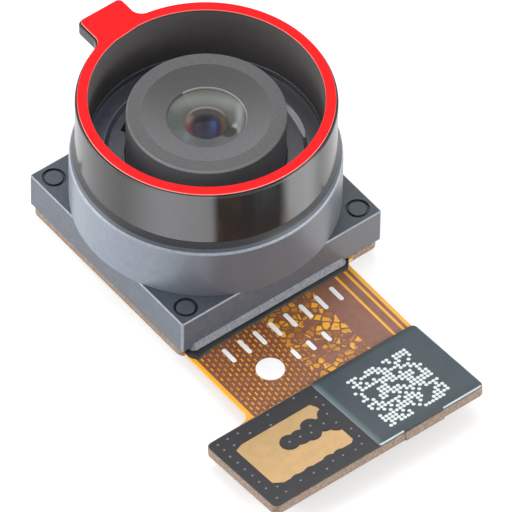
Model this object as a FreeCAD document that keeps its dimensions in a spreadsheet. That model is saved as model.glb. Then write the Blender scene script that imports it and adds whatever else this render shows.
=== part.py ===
import FreeCAD, Part
import math
import os
import Sketcher

# Phone camera module: a square moulded lens holder on a small rigid board, a short flexible
# circuit and an end board with the connector underneath. The frame's origin is on the lens
# axis at the underside of the base stiffener. +Z looks out of the lens, -Y runs along the
# flexible circuit, and +X is the long direction of the end board. Lengths are millimetres.

SIZES = {
    # Layers under the holder
    "stiffener_inset": 0.2,
    "stiffener_thick": 0.15,
    "board_inset": 0.03,
    "board_thick": 0.3,
    "board_corner": 0.35,
    "glue_thick": 0.03,
    "glue_inset": 0.08,
    "glue_setback": 0.07,
    # Moulded lens holder
    "turret_bulge": 0.39,
    "holder_corner": 0.07,
    "shoulder_height": 1.447,
    "ring_ledge": 0.207,
    "turret_height": 2.07,
    "turret_bevel_height": 0.43,
    "floor_drop": 0.28,
    "floor_width": 0.543,
    "well_gap": 0.595,
    "well_slope": 0.16,
    "well_depth": 0.14,
    "cavity_wall": 0.64,
    "cavity_height": 1.0,
    "window_ledge": 0.4,
    "window_height": 0.24,
    "mark_inset": 0.59,
    "mark_radius": 0.42,
    "mark_groove": 0.1,
    "mark_depth": 0.07,
    "lip_inset": 0.16,
    "lip_end": 0.04,
    "lip_reach": 0.19,
    "lip_height": 0.21,
    "lip_bevel": 0.17,
    # Filter, image sensor and what stands beside it
    "filter_margin": 0.15,
    "filter_thick": 0.21,
    "filter_gap": 0.05,
    "sensor_margin": 0.2,
    "sensor_thick": 0.2,
    "wire_pitch": 0.3,
    "wire_count": 14,
    "wire_thick": 0.03,
    "wire_inset": 0.1,
    "wire_span": 0.45,
    "wire_rise": 0.15,
    "wire_clear": 0.35,
    "capacitor_length": 0.6,
    "capacitor_width": 0.3,
    "capacitor_offset": 0.35,
    "memory_length": 1.1,
    "memory_width": 0.5,
    "memory_height": 0.3,
    # Lens barrel
    "barrel_radius": 2.745,
    "barrel_gap": 0.02,
    "barrel_lift": 0.15,
    "barrel_height": 3.96,
    "barrel_bevel": 0.06,
    "rim_width": 0.53,
    "cone_width": 0.848,
    "cone_depth": 0.25,
    "seat_depth": 0.1,
    # Lenses and films, counted from the front of the barrel
    "lens_gap": 0.01,
    "lens_land": 0.253,
    "radius_step": 0.15,
    "film_thick": 0.04,
    "lens_edge_1": 0.42,
    "lens_edge_2": 0.4,
    "lens_edge_3": 0.45,
    "lens_edge_4": 0.6,
    "lens_edge_5": 0.65,
    "lens_flange_1": 0.86,
    "lens_flange_2": 0.91,
    "lens_flange_3": 0.87,
    "lens_flange_4": 0.77,
    "lens_flange_5": 0.62,
    "front_sag_1": 0.17,
    "front_sag_2": -0.03,
    "front_sag_3": 0.08,
    "front_sag_4": -0.16,
    "front_sag_5": 0.06,
    "back_sag_1": -0.05,
    "back_sag_2": -0.12,
    "back_sag_3": 0.1,
    "back_sag_4": -0.11,
    "back_sag_5": -0.2,
    "stop_rim": 0.24,
    "retainer_height": 0.35,
    "retainer_width": 0.4,
    "bead_height": 0.3,
    "bead_clear": 0.255,
    "bead_angle": 34,
    "bead_count": 4,
    # Seal ring with its pull lug, and the films on top of it
    "ring_wall": 0.43,
    "ring_height": 2.26,
    "adhesive_thick": 0.04,
    "liner_thick": 0.06,
    "film_inset": 0.08,
    "lug_centre": -0.45,
    "lug_width": 1.9,
    "lug_reach": 1.014,
    "lug_thick": 0.42,
    "lug_root": 0.08,
    "lug_corner": 0.26,
    "lug_fillet": 0.36,
    # Flexible circuit
    "flex_inset": 0.11,
    "flex_setback": 1.51,
    "flex_thick": 0.12,
    "flex_rise": 0.1,
    "flex_length": 3.58,
    "flex_tail": 0.15,
    "bend_radius": 2.0,
    "flare_width": 0.3,
    "flare_depth": 0.04,
    "flare_fillet": 0.18,
    "foot_width": 0.46,
    "foot_depth": 0.07,
    "foot_fillet": 0.42,
    "sealant_reach": 0.4,
    "sealant_end": 0.16,
    "sealant_side": 0.15,
    # End board, tilted up from the flexible circuit
    "board_tilt": 5.4,
    "end_reach": 2.027,
    "end_margin": 0.06,
    "end_width": 3.9,
    "end_thick": 0.4,
    "end_top": 0.11,
    "end_corner": 0.25,
    "rest_left": 0.66,
    "rest_right": 1.03,
    "rest_reach": 0.05,
    "pad_inset": 0.647,
    "pad_right": 2.17,
    "pad_near": 0.77,
    "pad_edge": 0.77,
    "pad_corner_across": 0.32,
    "pad_corner_along": 0.24,
    "pad_thick": 0.02,
    "mask_thick": 0.035,
    "cover_radius": 0.35,
    "label_left": 1.7,
    "label_thick": 0.04,
    "label_inset": 0.02,
    # Connector under the end board
    "housing_length": 7.4,
    "housing_width": 2.3,
    "housing_height": 0.65,
    "housing_wall": 0.37,
    "channel_width": 0.38,
    "channel_depth": 0.48,
    "contact_pitch": 0.4,
    "contact_count": 14,
    "contact_width": 0.18,
    "contact_thick": 0.08,
    "tail_length": 0.28,
    "anchor_length": 0.3,
    "anchor_width": 1.5,
    "anchor_thick": 0.12,
    # White marks printed on the flexible circuit
    "ink_thick": 0.012,
    "dot_radius": 0.5,
    "dot_across": -2.275,
    "stroke_width": 0.17,
    "stroke_length": 0.72,
    "stroke_pitch": 0.66,
    "stroke_count": 8,
    "stroke_start": -3.02,
    "stroke_along": 0.99,
    "row_gap": 1.32,
    "short_length": 0.5,
    "short_count": 3,
    "short_start": -1.18,
}

# Centres of the mask covers over the plated holes beside the ground pad, from the end
# board's near edge: across, then along.
COVERS = [
    (-3.90, 1.75),
    (-3.47, 1.79),
    (-3.07, 1.88),
    (-2.90, 1.60),
    (-2.49, 1.81),
    (-2.12, 1.52),
    (-2.14, 2.05),
    (-5.62, 3.28),
    (-4.73, 3.43),
    (-4.18, 3.43),
    (-3.34, 3.41),
    (-2.92, 3.42),
]

document = FreeCAD.newDocument("camera_module")
sheet = document.addObject("Spreadsheet::Sheet", "sizes")
for row, (alias, number) in enumerate(SIZES.items(), start=1):
    sheet.set(f"A{row}", alias.replace("_", " "))
    sheet.set(f"B{row}", str(number))
    sheet.setAlias(f"B{row}", alias)
document.recompute()


class Measure:
    """A length or an angle: its number now, and the expression that binds it to the sheet."""

    def __init__(self, text, number):
        self.text = text
        self.number = number

    def joined(self, sign, other, number):
        return Measure(f"({self.text} {sign} {measure(other).text})", number)

    def __add__(self, other):
        return self.joined("+", other, self.number + measure(other).number)

    def __sub__(self, other):
        return self.joined("-", other, self.number - measure(other).number)

    def __mul__(self, other):
        return self.joined("*", other, self.number * measure(other).number)

    def __truediv__(self, other):
        return self.joined("/", other, self.number / measure(other).number)

    def __neg__(self):
        return self * -1


def measure(thing):
    """A plain number as a measure, and a measure as it is."""
    return thing if isinstance(thing, Measure) else Measure(f"{thing}", float(thing))


def size(alias):
    """The measure of one cell of the sheet."""
    return Measure(f"sizes.{alias}", float(sheet.get(alias)))


def sine(angle):
    return Measure(f"sin({angle.text} * 1 deg)", math.sin(math.radians(angle.number)))


def cosine(angle):
    return Measure(f"cos({angle.text} * 1 deg)", math.cos(math.radians(angle.number)))


def bind(thing, name, amount):
    """Bind a property to the sheet."""
    thing.setExpression(name, measure(amount).text)


def put(thing, across, along, up, tilt=None):
    """Place a piece, turned about X by the tilt where one is given."""
    if tilt is not None:
        rotation = FreeCAD.Rotation(FreeCAD.Vector(1, 0, 0), measure(tilt).number)
        thing.Placement = FreeCAD.Placement(FreeCAD.Vector(), rotation)
        bind(thing, "Placement.Rotation.Angle", tilt)
    bind(thing, "Placement.Base.x", across)
    bind(thing, "Placement.Base.y", along)
    bind(thing, "Placement.Base.z", up)


def new_body(label):
    body = document.addObject("PartDesign::Body", label)
    body.Label = label
    return body


def new_sketch(body, name, role, offset=0):
    """A sketch on one of the body's own origin planes, moved along the plane's normal."""
    plane = next(item for item in body.Origin.OriginFeatures if item.Role == role)
    sketch = body.newObject("Sketcher::SketchObject", name)
    sketch.AttachmentSupport = [(plane, "")]
    sketch.MapMode = "FlatFace"
    bind(sketch, "AttachmentOffset.Base.z", offset)
    return sketch


def fix_point(sketch, element, end, across, up):
    """Hold one end of a sketch element at a place bound to the sheet."""
    for kind, amount in (("DistanceX", across), ("DistanceY", up)):
        amount = measure(amount)
        index = sketch.addConstraint(Sketcher.Constraint(kind, -1, 1, element, end, amount.number))
        sketch.setExpression(f"Constraints[{index}]", amount.text)


def vector(point):
    return FreeCAD.Vector(measure(point[0]).number, measure(point[1]).number, 0)


def short_arc(here, after, centre):
    """The shorter arc between two points about a centre, and which of its ends is the first."""
    first = here - centre
    last = after - centre
    turns_left = first.x * last.y - first.y * last.x > 0
    begin, finish = (first, last) if turns_left else (last, first)
    start = math.atan2(begin.y, begin.x)
    sweep = (math.atan2(finish.y, finish.x) - start) % (2 * math.pi)
    circle = Part.Circle(centre, FreeCAD.Vector(0, 0, 1), first.Length)
    return Part.ArcOfCircle(circle, start, start + sweep), 1 if turns_left else 2


def draw_outline(sketch, corners, arcs=None):
    """Draw a closed outline through bound corners.

    An edge is straight, apart from those in arcs: the edge that starts at such a corner is an
    arc about the centre given there, of which the sketch holds the place across.
    """
    arcs = arcs or {}
    count = len(corners)
    ends = []
    for index in range(count):
        here = vector(corners[index])
        after = vector(corners[(index + 1) % count])
        curve, first_end = Part.LineSegment(here, after), 1
        if index in arcs:
            curve, first_end = short_arc(here, after, vector(arcs[index]))
        ends.append((sketch.addGeometry(curve, False), first_end))
    for index in range(count):
        element, first_end = ends[index]
        following, next_end = ends[(index + 1) % count]
        sketch.addConstraint(
            Sketcher.Constraint("Coincident", element, 3 - first_end, following, next_end)
        )
        fix_point(sketch, element, first_end, *corners[index])
        if index in arcs:
            centre = measure(arcs[index][0])
            held = Sketcher.Constraint("DistanceX", -1, 1, element, 3, centre.number)
            sketch.setExpression(f"Constraints[{sketch.addConstraint(held)}]", centre.text)


def draw_circle(sketch, across, up, radius):
    """Draw a circle with its centre and radius bound to the sheet."""
    radius = measure(radius)
    centre = vector((across, up))
    element = sketch.addGeometry(Part.Circle(centre, FreeCAD.Vector(0, 0, 1), radius.number), False)
    fix_point(sketch, element, 3, across, up)
    index = sketch.addConstraint(Sketcher.Constraint("Radius", element, radius.number))
    sketch.setExpression(f"Constraints[{index}]", radius.text)


def box_corners(low_across, low_up, high_across, high_up):
    return [
        (low_across, low_up),
        (high_across, low_up),
        (high_across, high_up),
        (low_across, high_up),
    ]


def pad(body, sketch, name, length, reverse=False):
    feature = body.newObject("PartDesign::Pad", name)
    feature.Profile = sketch
    feature.Reversed = reverse
    bind(feature, "Length", length)
    return feature


def pocket_up(body, sketch, name, depth):
    """Cut from the sketch along its normal."""
    feature = body.newObject("PartDesign::Pocket", name)
    feature.Profile = sketch
    feature.Reversed = True
    bind(feature, "Length", depth)
    return feature


def revolve(body, sketch, name, angle=360):
    """Turn a profile about the sketch's vertical axis."""
    feature = body.newObject("PartDesign::Revolution", name)
    feature.Profile = sketch
    feature.ReferenceAxis = (sketch, ["V_Axis"])
    bind(feature, "Angle", angle)
    return feature


def round_edges(body, name, radius, chosen):
    """Fillet the edges of the body's last feature that pass a test."""
    document.recompute()
    base = body.Tip
    names = [f"Edge{number}" for number, edge in enumerate(base.Shape.Edges, start=1) if chosen(edge)]
    feature = body.newObject("PartDesign::Fillet", name)
    feature.Base = (base, names)
    bind(feature, "Radius", radius)
    return feature


def is_upright(edge):
    """Whether an edge is a straight one along Z."""
    box = edge.BoundBox
    return box.XLength < 1e-4 and box.YLength < 1e-4 and box.ZLength > 1e-4


def upright_at(*places):
    """A test for the upright edges at some plan positions."""
    wanted = [vector(place) for place in places]

    def chosen(edge):
        if not is_upright(edge):
            return False
        middle = edge.BoundBox.Center
        return any(math.hypot(middle.x - spot.x, middle.y - spot.y) < 1e-3 for spot in wanted)

    return chosen


def make_slab(label, low_across, low_along, high_across, high_along, thick, corner=None):
    """A flat rectangular piece, with all four corners rounded where a radius is given."""
    body = new_body(label)
    sketch = new_sketch(body, f"{label}_outline", "XY_Plane")
    draw_outline(sketch, box_corners(low_across, low_along, high_across, high_along))
    pad(body, sketch, f"{label}_plate", thick)
    if corner is not None:
        round_edges(body, f"{label}_corners", corner, is_upright)
    return body


def make_ring(label, outer, inner, thick):
    """A flat round ring."""
    body = new_body(label)
    sketch = new_sketch(body, f"{label}_outline", "XY_Plane")
    draw_circle(sketch, 0, 0, outer)
    draw_circle(sketch, 0, 0, inner)
    pad(body, sketch, f"{label}_plate", thick)
    return body


# Plan sizes, from the barrel outwards to the holder's sides
well_radius = size("barrel_radius") + size("well_gap")
ring_inner = well_radius + size("well_slope") + size("floor_width")
ring_outer = ring_inner + size("ring_wall")
turret_radius = ring_outer + size("ring_ledge")
half_side = turret_radius - size("turret_bulge")
half_board = half_side - size("board_inset")

# Plan sizes inside the holder's cavity, from its wall inwards
half_cavity = half_side - size("cavity_wall")
capacitor_edge = half_cavity - size("capacitor_offset")
sensor_half_length = capacitor_edge - size("capacitor_length") - size("sensor_margin")
row_along = capacitor_edge - size("capacitor_width") / 2
wire_end = row_along - size("memory_width") / 2 - size("wire_clear")
sensor_half_width = wire_end - size("wire_span") + size("wire_inset")
filter_half_length = sensor_half_length - size("filter_margin")
filter_half_width = sensor_half_width - size("filter_margin")

# Plan sizes inside the barrel, and along the flexible circuit and the end board
rim_radius = size("barrel_radius") - size("rim_width")
opening_radius = rim_radius - size("cone_width")
flex_left = half_board - size("flex_inset")
flex_right = half_board - size("flex_setback")
end_left = flex_left + size("end_reach")
end_right = flex_right + size("end_margin")

# Heights that several pieces share
board_base = size("stiffener_thick")
board_top = board_base + size("board_thick")
holder_base = board_top + size("glue_thick")
ring_seat = size("shoulder_height") + size("turret_height") + size("turret_bevel_height")
floor_height = ring_seat - size("floor_drop")
well_height = floor_height - size("well_depth")
filter_roof = size("cavity_height") + size("filter_thick")
bore_base = filter_roof + size("window_height")
bore_radius = size("barrel_radius") + size("barrel_gap")


def make_stiffener():
    """Thin steel plate glued under the sensor board."""
    half = half_side - size("stiffener_inset")
    return make_slab(
        "base_stiffener", -half, -half, half, half, size("stiffener_thick"), size("board_corner")
    )


def make_sensor_board():
    """Rigid board that carries the sensor and the holder."""
    board = make_slab(
        "sensor_board",
        -half_board,
        -half_board,
        half_board,
        half_board,
        size("board_thick"),
        size("board_corner"),
    )
    put(board, 0, 0, board_base)
    return board


def make_holder_glue():
    """Bead of glue between the board and the holder's wall."""
    body = new_body("holder_glue")
    outer = half_board - size("glue_inset")
    inner = half_cavity + size("glue_setback")
    sketch = new_sketch(body, "holder_glue_outline", "XY_Plane")
    draw_outline(sketch, box_corners(-outer, -outer, outer, outer))
    draw_outline(sketch, box_corners(-inner, -inner, inner, inner))
    pad(body, sketch, "holder_glue_bead", size("glue_thick"))
    round_edges(
        body,
        "holder_glue_corners",
        size("board_corner"),
        upright_at((outer, outer), (-outer, outer), (outer, -outer), (-outer, -outer)),
    )
    put(body, 0, 0, board_top)
    return body


def make_lens_holder():
    """Moulded holder: square foot, round turret, sensor cavity, filter seat and barrel bore."""
    body = new_body("lens_holder")
    foot = new_sketch(body, "foot_outline", "XY_Plane")
    draw_outline(foot, box_corners(-half_side, -half_side, half_side, half_side))
    pad(body, foot, "foot", size("shoulder_height"))
    round_edges(body, "foot_corners", size("holder_corner"), is_upright)

    shoulder = size("shoulder_height")
    turret = new_sketch(body, "turret_profile", "XZ_Plane")
    draw_outline(
        turret,
        [
            (0, shoulder - size("turret_bulge")),
            (half_side, shoulder - size("turret_bulge")),
            (turret_radius, shoulder),
            (turret_radius, shoulder + size("turret_height")),
            (ring_outer, ring_seat),
            (ring_inner, ring_seat),
            (ring_inner, floor_height),
            (well_radius + size("well_slope"), floor_height),
            (well_radius, well_height),
            (0, well_height),
        ],
    )
    revolve(body, turret, "turret")

    lip_left = flex_left - size("lip_inset")
    lip_right = flex_right - size("lip_end")
    lip = new_sketch(body, "lip_profile", "YZ_Plane", -lip_left)
    draw_outline(
        lip,
        [
            (-half_side, 0),
            (-half_side, size("lip_height")),
            (-half_side - size("lip_reach") + size("lip_bevel"), size("lip_height")),
            (-half_side - size("lip_reach"), size("lip_height") - size("lip_bevel")),
            (-half_side - size("lip_reach"), 0),
        ],
    )
    pad(body, lip, "lip", lip_left + lip_right)

    cavity = new_sketch(body, "cavity_outline", "XY_Plane")
    draw_outline(cavity, box_corners(-half_cavity, -half_cavity, half_cavity, half_cavity))
    pocket_up(body, cavity, "cavity", size("cavity_height"))

    seat = new_sketch(body, "filter_seat_outline", "XY_Plane", size("cavity_height"))
    half_length = filter_half_length + size("filter_gap")
    half_width = filter_half_width + size("filter_gap")
    draw_outline(seat, box_corners(-half_length, -half_width, half_length, half_width))
    pocket_up(body, seat, "filter_seat", size("filter_thick"))

    window = new_sketch(body, "window_outline", "XY_Plane", filter_roof)
    half_length = filter_half_length - size("window_ledge")
    half_width = filter_half_width - size("window_ledge")
    draw_outline(window, box_corners(-half_length, -half_width, half_length, half_width))
    pocket_up(body, window, "window", size("window_height"))

    bore = new_sketch(body, "bore_outline", "XY_Plane", bore_base)
    draw_circle(bore, 0, 0, bore_radius)
    pocket_up(body, bore, "barrel_bore", well_height - bore_base)

    mark = new_sketch(body, "mark_outline", "XY_Plane", shoulder - size("mark_depth"))
    offset = half_side - size("mark_inset")
    draw_circle(mark, offset, offset, size("mark_radius"))
    draw_circle(mark, offset, offset, size("mark_radius") - size("mark_groove"))
    groove = pocket_up(body, mark, "mark_groove_cut", size("mark_depth"))
    document.recompute()
    pattern = body.newObject("PartDesign::PolarPattern", "mark_grooves")
    pattern.Originals = [groove]
    axis = next(item for item in body.Origin.OriginFeatures if item.Role == "Z_Axis")
    pattern.Axis = (axis, [""])
    pattern.Angle = 360
    pattern.Occurrences = 4
    body.Tip = pattern
    put(body, 0, 0, holder_base)
    return body


def make_filter():
    """Infrared filter glass in its seat over the cavity."""
    glass = make_slab(
        "infrared_filter",
        -filter_half_length,
        -filter_half_width,
        filter_half_length,
        filter_half_width,
        size("filter_thick"),
    )
    put(glass, 0, 0, holder_base + size("cavity_height"))
    return glass


def make_sensor_chip():
    """Image sensor die."""
    chip = make_slab(
        "sensor_chip",
        -sensor_half_length,
        -sensor_half_width,
        sensor_half_length,
        sensor_half_width,
        size("sensor_thick"),
    )
    put(chip, 0, 0, board_top)
    return chip


def make_bond_wires():
    """Fine wires from both long edges of the sensor down to the board."""
    chip_top = size("sensor_thick").number
    thick = size("wire_thick").number
    inner = sensor_half_width.number - size("wire_inset").number
    outer = wire_end.number
    peak = chip_top + size("wire_rise").number
    count = int(size("wire_count").number)
    profile = [
        (inner, chip_top),
        (inner, peak),
        (outer, peak),
        (outer, 0),
        (outer - thick, 0),
        (outer - thick, peak - thick),
        (inner + thick, peak - thick),
        (inner + thick, chip_top),
    ]
    wires = []
    for side in (1, -1):
        for index in range(count):
            across = (index - (count - 1) / 2) * size("wire_pitch").number - thick / 2
            points = [FreeCAD.Vector(across, side * along, up) for along, up in profile]
            face = Part.Face(Part.makePolygon(points + points[:1]))
            wires.append(face.extrude(FreeCAD.Vector(thick, 0, 0)))
    group = document.addObject("Part::Feature", "bond_wires")
    group.Label = "bond_wires"
    group.Shape = Part.makeCompound(wires)
    put(group, 0, 0, board_top)
    return group


def make_box(name, length, width, height, across, along, up):
    """A plain box, centred across and along, standing at a height."""
    box = document.addObject("Part::Box", name)
    bind(box, "Length", length)
    bind(box, "Width", width)
    bind(box, "Height", height)
    put(box, measure(across) - measure(length) / 2, measure(along) - measure(width) / 2, up)
    return box


def make_board_parts():
    """Capacitors in the cavity's corners and the memory chip between two of them."""
    across = capacitor_edge - size("capacitor_length") / 2
    pieces = []
    for number, (side, end) in enumerate([(1, 1), (-1, 1), (1, -1), (-1, -1)], start=1):
        pieces.append(
            make_box(
                f"capacitor_{number}",
                size("capacitor_length"),
                size("capacitor_width"),
                size("capacitor_width"),
                across * side,
                row_along * end,
                board_top,
            )
        )
    capacitors = document.addObject("Part::Compound", "board_capacitors")
    capacitors.Label = "board_capacitors"
    capacitors.Links = pieces
    memory = make_box(
        "memory_chip",
        size("memory_length"),
        size("memory_width"),
        size("memory_height"),
        0,
        row_along,
        board_top,
    )
    memory.Label = "memory_chip"
    return [capacitors, memory]


# Heights inside the barrel, from its foot
seat_height = size("barrel_height") - size("cone_depth") - size("seat_depth")
lens_tops = []
lens_radii = []
clear_radii = []
height = seat_height
for number in range(1, 6):
    lens_tops.append(height)
    lens_radii.append(opening_radius + size("lens_land") + size("radius_step") * (number - 1))
    clear_radii.append(lens_radii[-1] - size(f"lens_flange_{number}"))
    height = height - size(f"lens_edge_{number}") - size("film_thick")
stack_base = height + size("film_thick")
barrel_base = holder_base + bore_base + size("barrel_lift")


def make_lens_barrel():
    """Turned-looking barrel with a stepped bore that opens towards the sensor."""
    body = new_body("lens_barrel")
    sketch = new_sketch(body, "barrel_profile", "XZ_Plane")
    bevel = size("barrel_bevel")
    outer = size("barrel_radius")
    top = size("barrel_height")
    corners = [
        (outer - bevel, 0),
        (outer, bevel),
        (outer, top - bevel),
        (outer - bevel, top),
        (rim_radius, top),
        (opening_radius, top - size("cone_depth")),
        (opening_radius, seat_height),
    ]
    for number, (radius, lens_top) in enumerate(zip(lens_radii, lens_tops), start=1):
        step = lens_top if number == 1 else lens_top + size("film_thick")
        corners.append((radius + size("lens_gap"), step))
        step_base = step - size(f"lens_edge_{number}")
        if number > 1:
            step_base = step_base - size("film_thick")
        if number == 5:
            step_base = 0
        corners.append((radius + size("lens_gap"), step_base))
    draw_outline(sketch, corners)
    revolve(body, sketch, "barrel_turned")
    put(body, 0, 0, barrel_base)
    return body


def make_lens(label, number):
    """One lens: a flat flange with a domed or hollow face on each side."""
    body = new_body(label)
    sketch = new_sketch(body, f"{label}_profile", "XZ_Plane")
    edge = size(f"lens_edge_{number}")
    clear = clear_radii[number - 1]
    front = size(f"front_sag_{number}")
    back = size(f"back_sag_{number}")
    radius = lens_radii[number - 1]
    corners = [
        (0, -edge - back),
        (clear, -edge),
        (radius, -edge),
        (radius, 0),
        (clear, 0),
        (0, front),
    ]
    arcs = {
        0: (0, -edge - back + (clear * clear + back * back) / (back * 2)),
        4: (0, front - (clear * clear + front * front) / (front * 2)),
    }
    draw_outline(sketch, corners, arcs)
    revolve(body, sketch, f"{label}_turned")
    put(body, 0, 0, barrel_base + lens_tops[number - 1])
    return body


def make_lens_stack():
    """Five lenses, the films between them and the ring that holds them in."""
    labels = ["front_lens", "second_lens", "third_lens", "fourth_lens", "fifth_lens"]
    pieces = [make_lens(label, number) for number, label in enumerate(labels, start=1)]
    films = ["aperture_stop", "second_spacer", "third_spacer", "fourth_spacer"]
    for number, label in enumerate(films, start=1):
        hole = clear_radii[0] - size("stop_rim") if number == 1 else clear_radii[number]
        film = make_ring(label, lens_radii[number], hole, size("film_thick"))
        put(film, 0, 0, barrel_base + lens_tops[number])
        pieces.append(film)
    retainer = make_ring(
        "lens_retainer",
        lens_radii[4],
        lens_radii[4] - size("retainer_width"),
        size("retainer_height"),
    )
    put(retainer, 0, 0, barrel_base + stack_base - size("retainer_height"))
    pieces.append(retainer)
    return pieces


def make_barrel_glue():
    """Short beads of glue that lock the barrel in the holder's well."""
    body = new_body("barrel_glue")
    sketch = new_sketch(body, "bead_profile", "XZ_Plane")
    barrel = size("barrel_radius")
    reach = size("well_gap") - size("bead_clear")
    draw_outline(
        sketch,
        [
            (barrel, 0),
            (barrel + reach, 0),
            (barrel + reach / 3, size("bead_height") / 3),
            (barrel, size("bead_height")),
        ],
    )
    bead = revolve(body, sketch, "bead", size("bead_angle"))
    document.recompute()
    pattern = body.newObject("PartDesign::PolarPattern", "beads")
    pattern.Originals = [bead]
    pattern.Axis = (sketch, ["V_Axis"])
    pattern.Angle = 360
    bind(pattern, "Occurrences", size("bead_count"))
    body.Tip = pattern
    put(body, 0, 0, holder_base + well_height)
    return body


def make_lugged_ring(label, thick, lug_thick, inset=0):
    """A ring with the pull lug at its top, all set in by the inset from the seal's outline."""
    body = new_body(label)
    outer = ring_outer - inset
    ring = new_sketch(body, f"{label}_outline", "XY_Plane")
    draw_circle(ring, 0, 0, outer)
    draw_circle(ring, 0, 0, ring_inner)
    pad(body, ring, f"{label}_wall", thick)
    left = size("lug_centre") - size("lug_width") / 2 + inset
    right = size("lug_centre") + size("lug_width") / 2 - inset
    end = ring_outer + size("lug_reach") - inset
    lug = new_sketch(body, f"{label}_lug_outline", "XY_Plane", measure(thick) - lug_thick)
    draw_outline(lug, box_corners(left, ring_inner + size("lug_root"), right, end))
    pad(body, lug, f"{label}_lug", lug_thick)
    round_edges(
        body,
        f"{label}_lug_corners",
        size("lug_corner") - inset,
        upright_at((left, end), (right, end)),
    )
    roots = []
    for side in (left, right):
        roots.append((side.number, math.sqrt(outer.number**2 - side.number**2)))
    round_edges(body, f"{label}_lug_roots", size("lug_fillet") + inset, upright_at(*roots))
    return body


def make_seal():
    """Seal ring on the turret, its adhesive and the liner that is peeled off."""
    ring_base = holder_base + ring_seat
    inset = size("film_inset")
    adhesive_thick = size("adhesive_thick")
    liner_thick = size("liner_thick")
    ring = make_lugged_ring("seal_ring", size("ring_height"), size("lug_thick"))
    put(ring, 0, 0, ring_base)
    adhesive = make_lugged_ring("ring_adhesive", adhesive_thick, adhesive_thick, inset)
    put(adhesive, 0, 0, ring_base + size("ring_height"))
    liner = make_lugged_ring("release_liner", liner_thick, liner_thick, inset)
    put(liner, 0, 0, ring_base + size("ring_height") + adhesive_thick)
    return [ring, adhesive, liner]


# Frame of the end board: its near top edge, turned up by the tilt
tilt = size("board_tilt")
flex_base = board_base + size("flex_rise")
flex_top = flex_base + size("flex_thick")
kink = -half_board - size("flex_length")
end_along = kink - size("flex_tail") * cosine(tilt) + size("end_top") * sine(tilt)
end_up = flex_top + size("flex_tail") * sine(tilt) + size("end_top") * cosine(tilt)


def put_on_end_board(thing, across, along, up):
    """Place a piece in the end board's tilted frame."""
    put(
        thing,
        across,
        end_along + measure(along) * cosine(tilt) + measure(up) * sine(tilt),
        end_up - measure(along) * sine(tilt) + measure(up) * cosine(tilt),
        -tilt,
    )


def make_flex_circuit():
    """Flexible circuit: flat, then bent up to the end board, with a flare and a foot."""
    body = new_body("flex_circuit")
    thick = size("flex_thick")
    tail = size("flex_tail")
    side = new_sketch(body, "flex_side", "YZ_Plane", -flex_left - size("foot_width"))
    bend = size("bend_radius")
    bend_start = kink + bend * sine(tilt) / (cosine(tilt) + 1)
    bend_centre = (bend_start, thick + bend)

    def bend_end(radius):
        """The end of the bend's arc at a radius, from the bend's centre."""
        return (bend_start - radius * sine(tilt), thick + bend - radius * cosine(tilt))

    tail_end = (kink - tail * cosine(tilt), thick + tail * sine(tilt))
    draw_outline(
        side,
        [
            (-half_board, 0),
            (-half_board, thick),
            (bend_start, thick),
            bend_end(bend),
            tail_end,
            (tail_end[0] - thick * sine(tilt), tail_end[1] - thick * cosine(tilt)),
            bend_end(bend + thick),
            (bend_start, 0),
        ],
        {2: bend_centre, 6: bend_centre},
    )
    width = flex_left + size("foot_width") + flex_right + size("flare_width")
    pad(body, side, "flex_sheet", width)

    far = kink - tail - thick
    flare_line = -half_board - size("flare_depth")
    right = flex_right
    right_edge = right + size("flare_width") * 2
    foot_line = kink - tail * cosine(tilt) + size("foot_depth")
    left = -flex_left
    left_edge = left - size("foot_width") * 2
    for name, corners in (
        ("right_trim", box_corners(right, far, right_edge, flare_line)),
        ("left_trim", box_corners(left_edge, foot_line, left, -half_board + thick)),
    ):
        trim = new_sketch(body, f"{name}_outline", "XY_Plane", -thick)
        draw_outline(trim, corners)
        pocket_up(body, trim, name, thick * 4)
    round_edges(body, "flare_root", size("flare_fillet"), upright_at((right, flare_line)))
    round_edges(body, "foot_root", size("foot_fillet"), upright_at((left, foot_line)))
    put(body, 0, 0, flex_base)
    return body


def make_root_sealant():
    """Black sealant along the root of the flexible circuit, under the holder's lip."""
    body = new_body("flex_root_sealant")
    sketch = new_sketch(body, "sealant_outline", "XY_Plane")
    reach = size("sealant_reach")
    end = size("sealant_end")
    left = -flex_left
    right = flex_right
    draw_outline(
        sketch,
        [
            (left, -half_board),
            (left, -half_board - reach - end),
            (left + reach * 2, -half_board - reach),
            (right - reach, -half_board - reach),
            (right, -half_board - reach + end / 2),
            (right + size("sealant_side"), -half_board),
        ],
    )
    pad(body, sketch, "sealant_bead", holder_base - flex_top)
    put(body, 0, 0, flex_top)
    return body


def make_printed_marks():
    """White ink on the flexible circuit: a round spot and two rows of plain strokes."""
    marks = []
    spot = document.addObject("Part::Cylinder", "ink_spot")
    bind(spot, "Radius", size("dot_radius"))
    bind(spot, "Height", size("ink_thick"))
    first_row = half_board + size("stroke_along")
    second_row = first_row + size("row_gap")
    put(spot, size("dot_across"), -second_row, flex_top)
    marks.append(spot)
    rows = (
        ("stroke", size("stroke_start"), first_row, size("stroke_length"), "stroke_count"),
        ("short_stroke", size("short_start"), second_row, size("short_length"), "short_count"),
    )
    for name, start, along, length, counter in rows:
        for index in range(int(size(counter).number)):
            marks.append(
                make_box(
                    f"{name}_{index + 1}",
                    size("stroke_width"),
                    length,
                    size("ink_thick"),
                    start + size("stroke_pitch") * index,
                    -along,
                    flex_top,
                )
            )
    group = document.addObject("Part::Compound", "printed_marks")
    group.Label = "printed_marks"
    group.Links = marks
    return group


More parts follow.
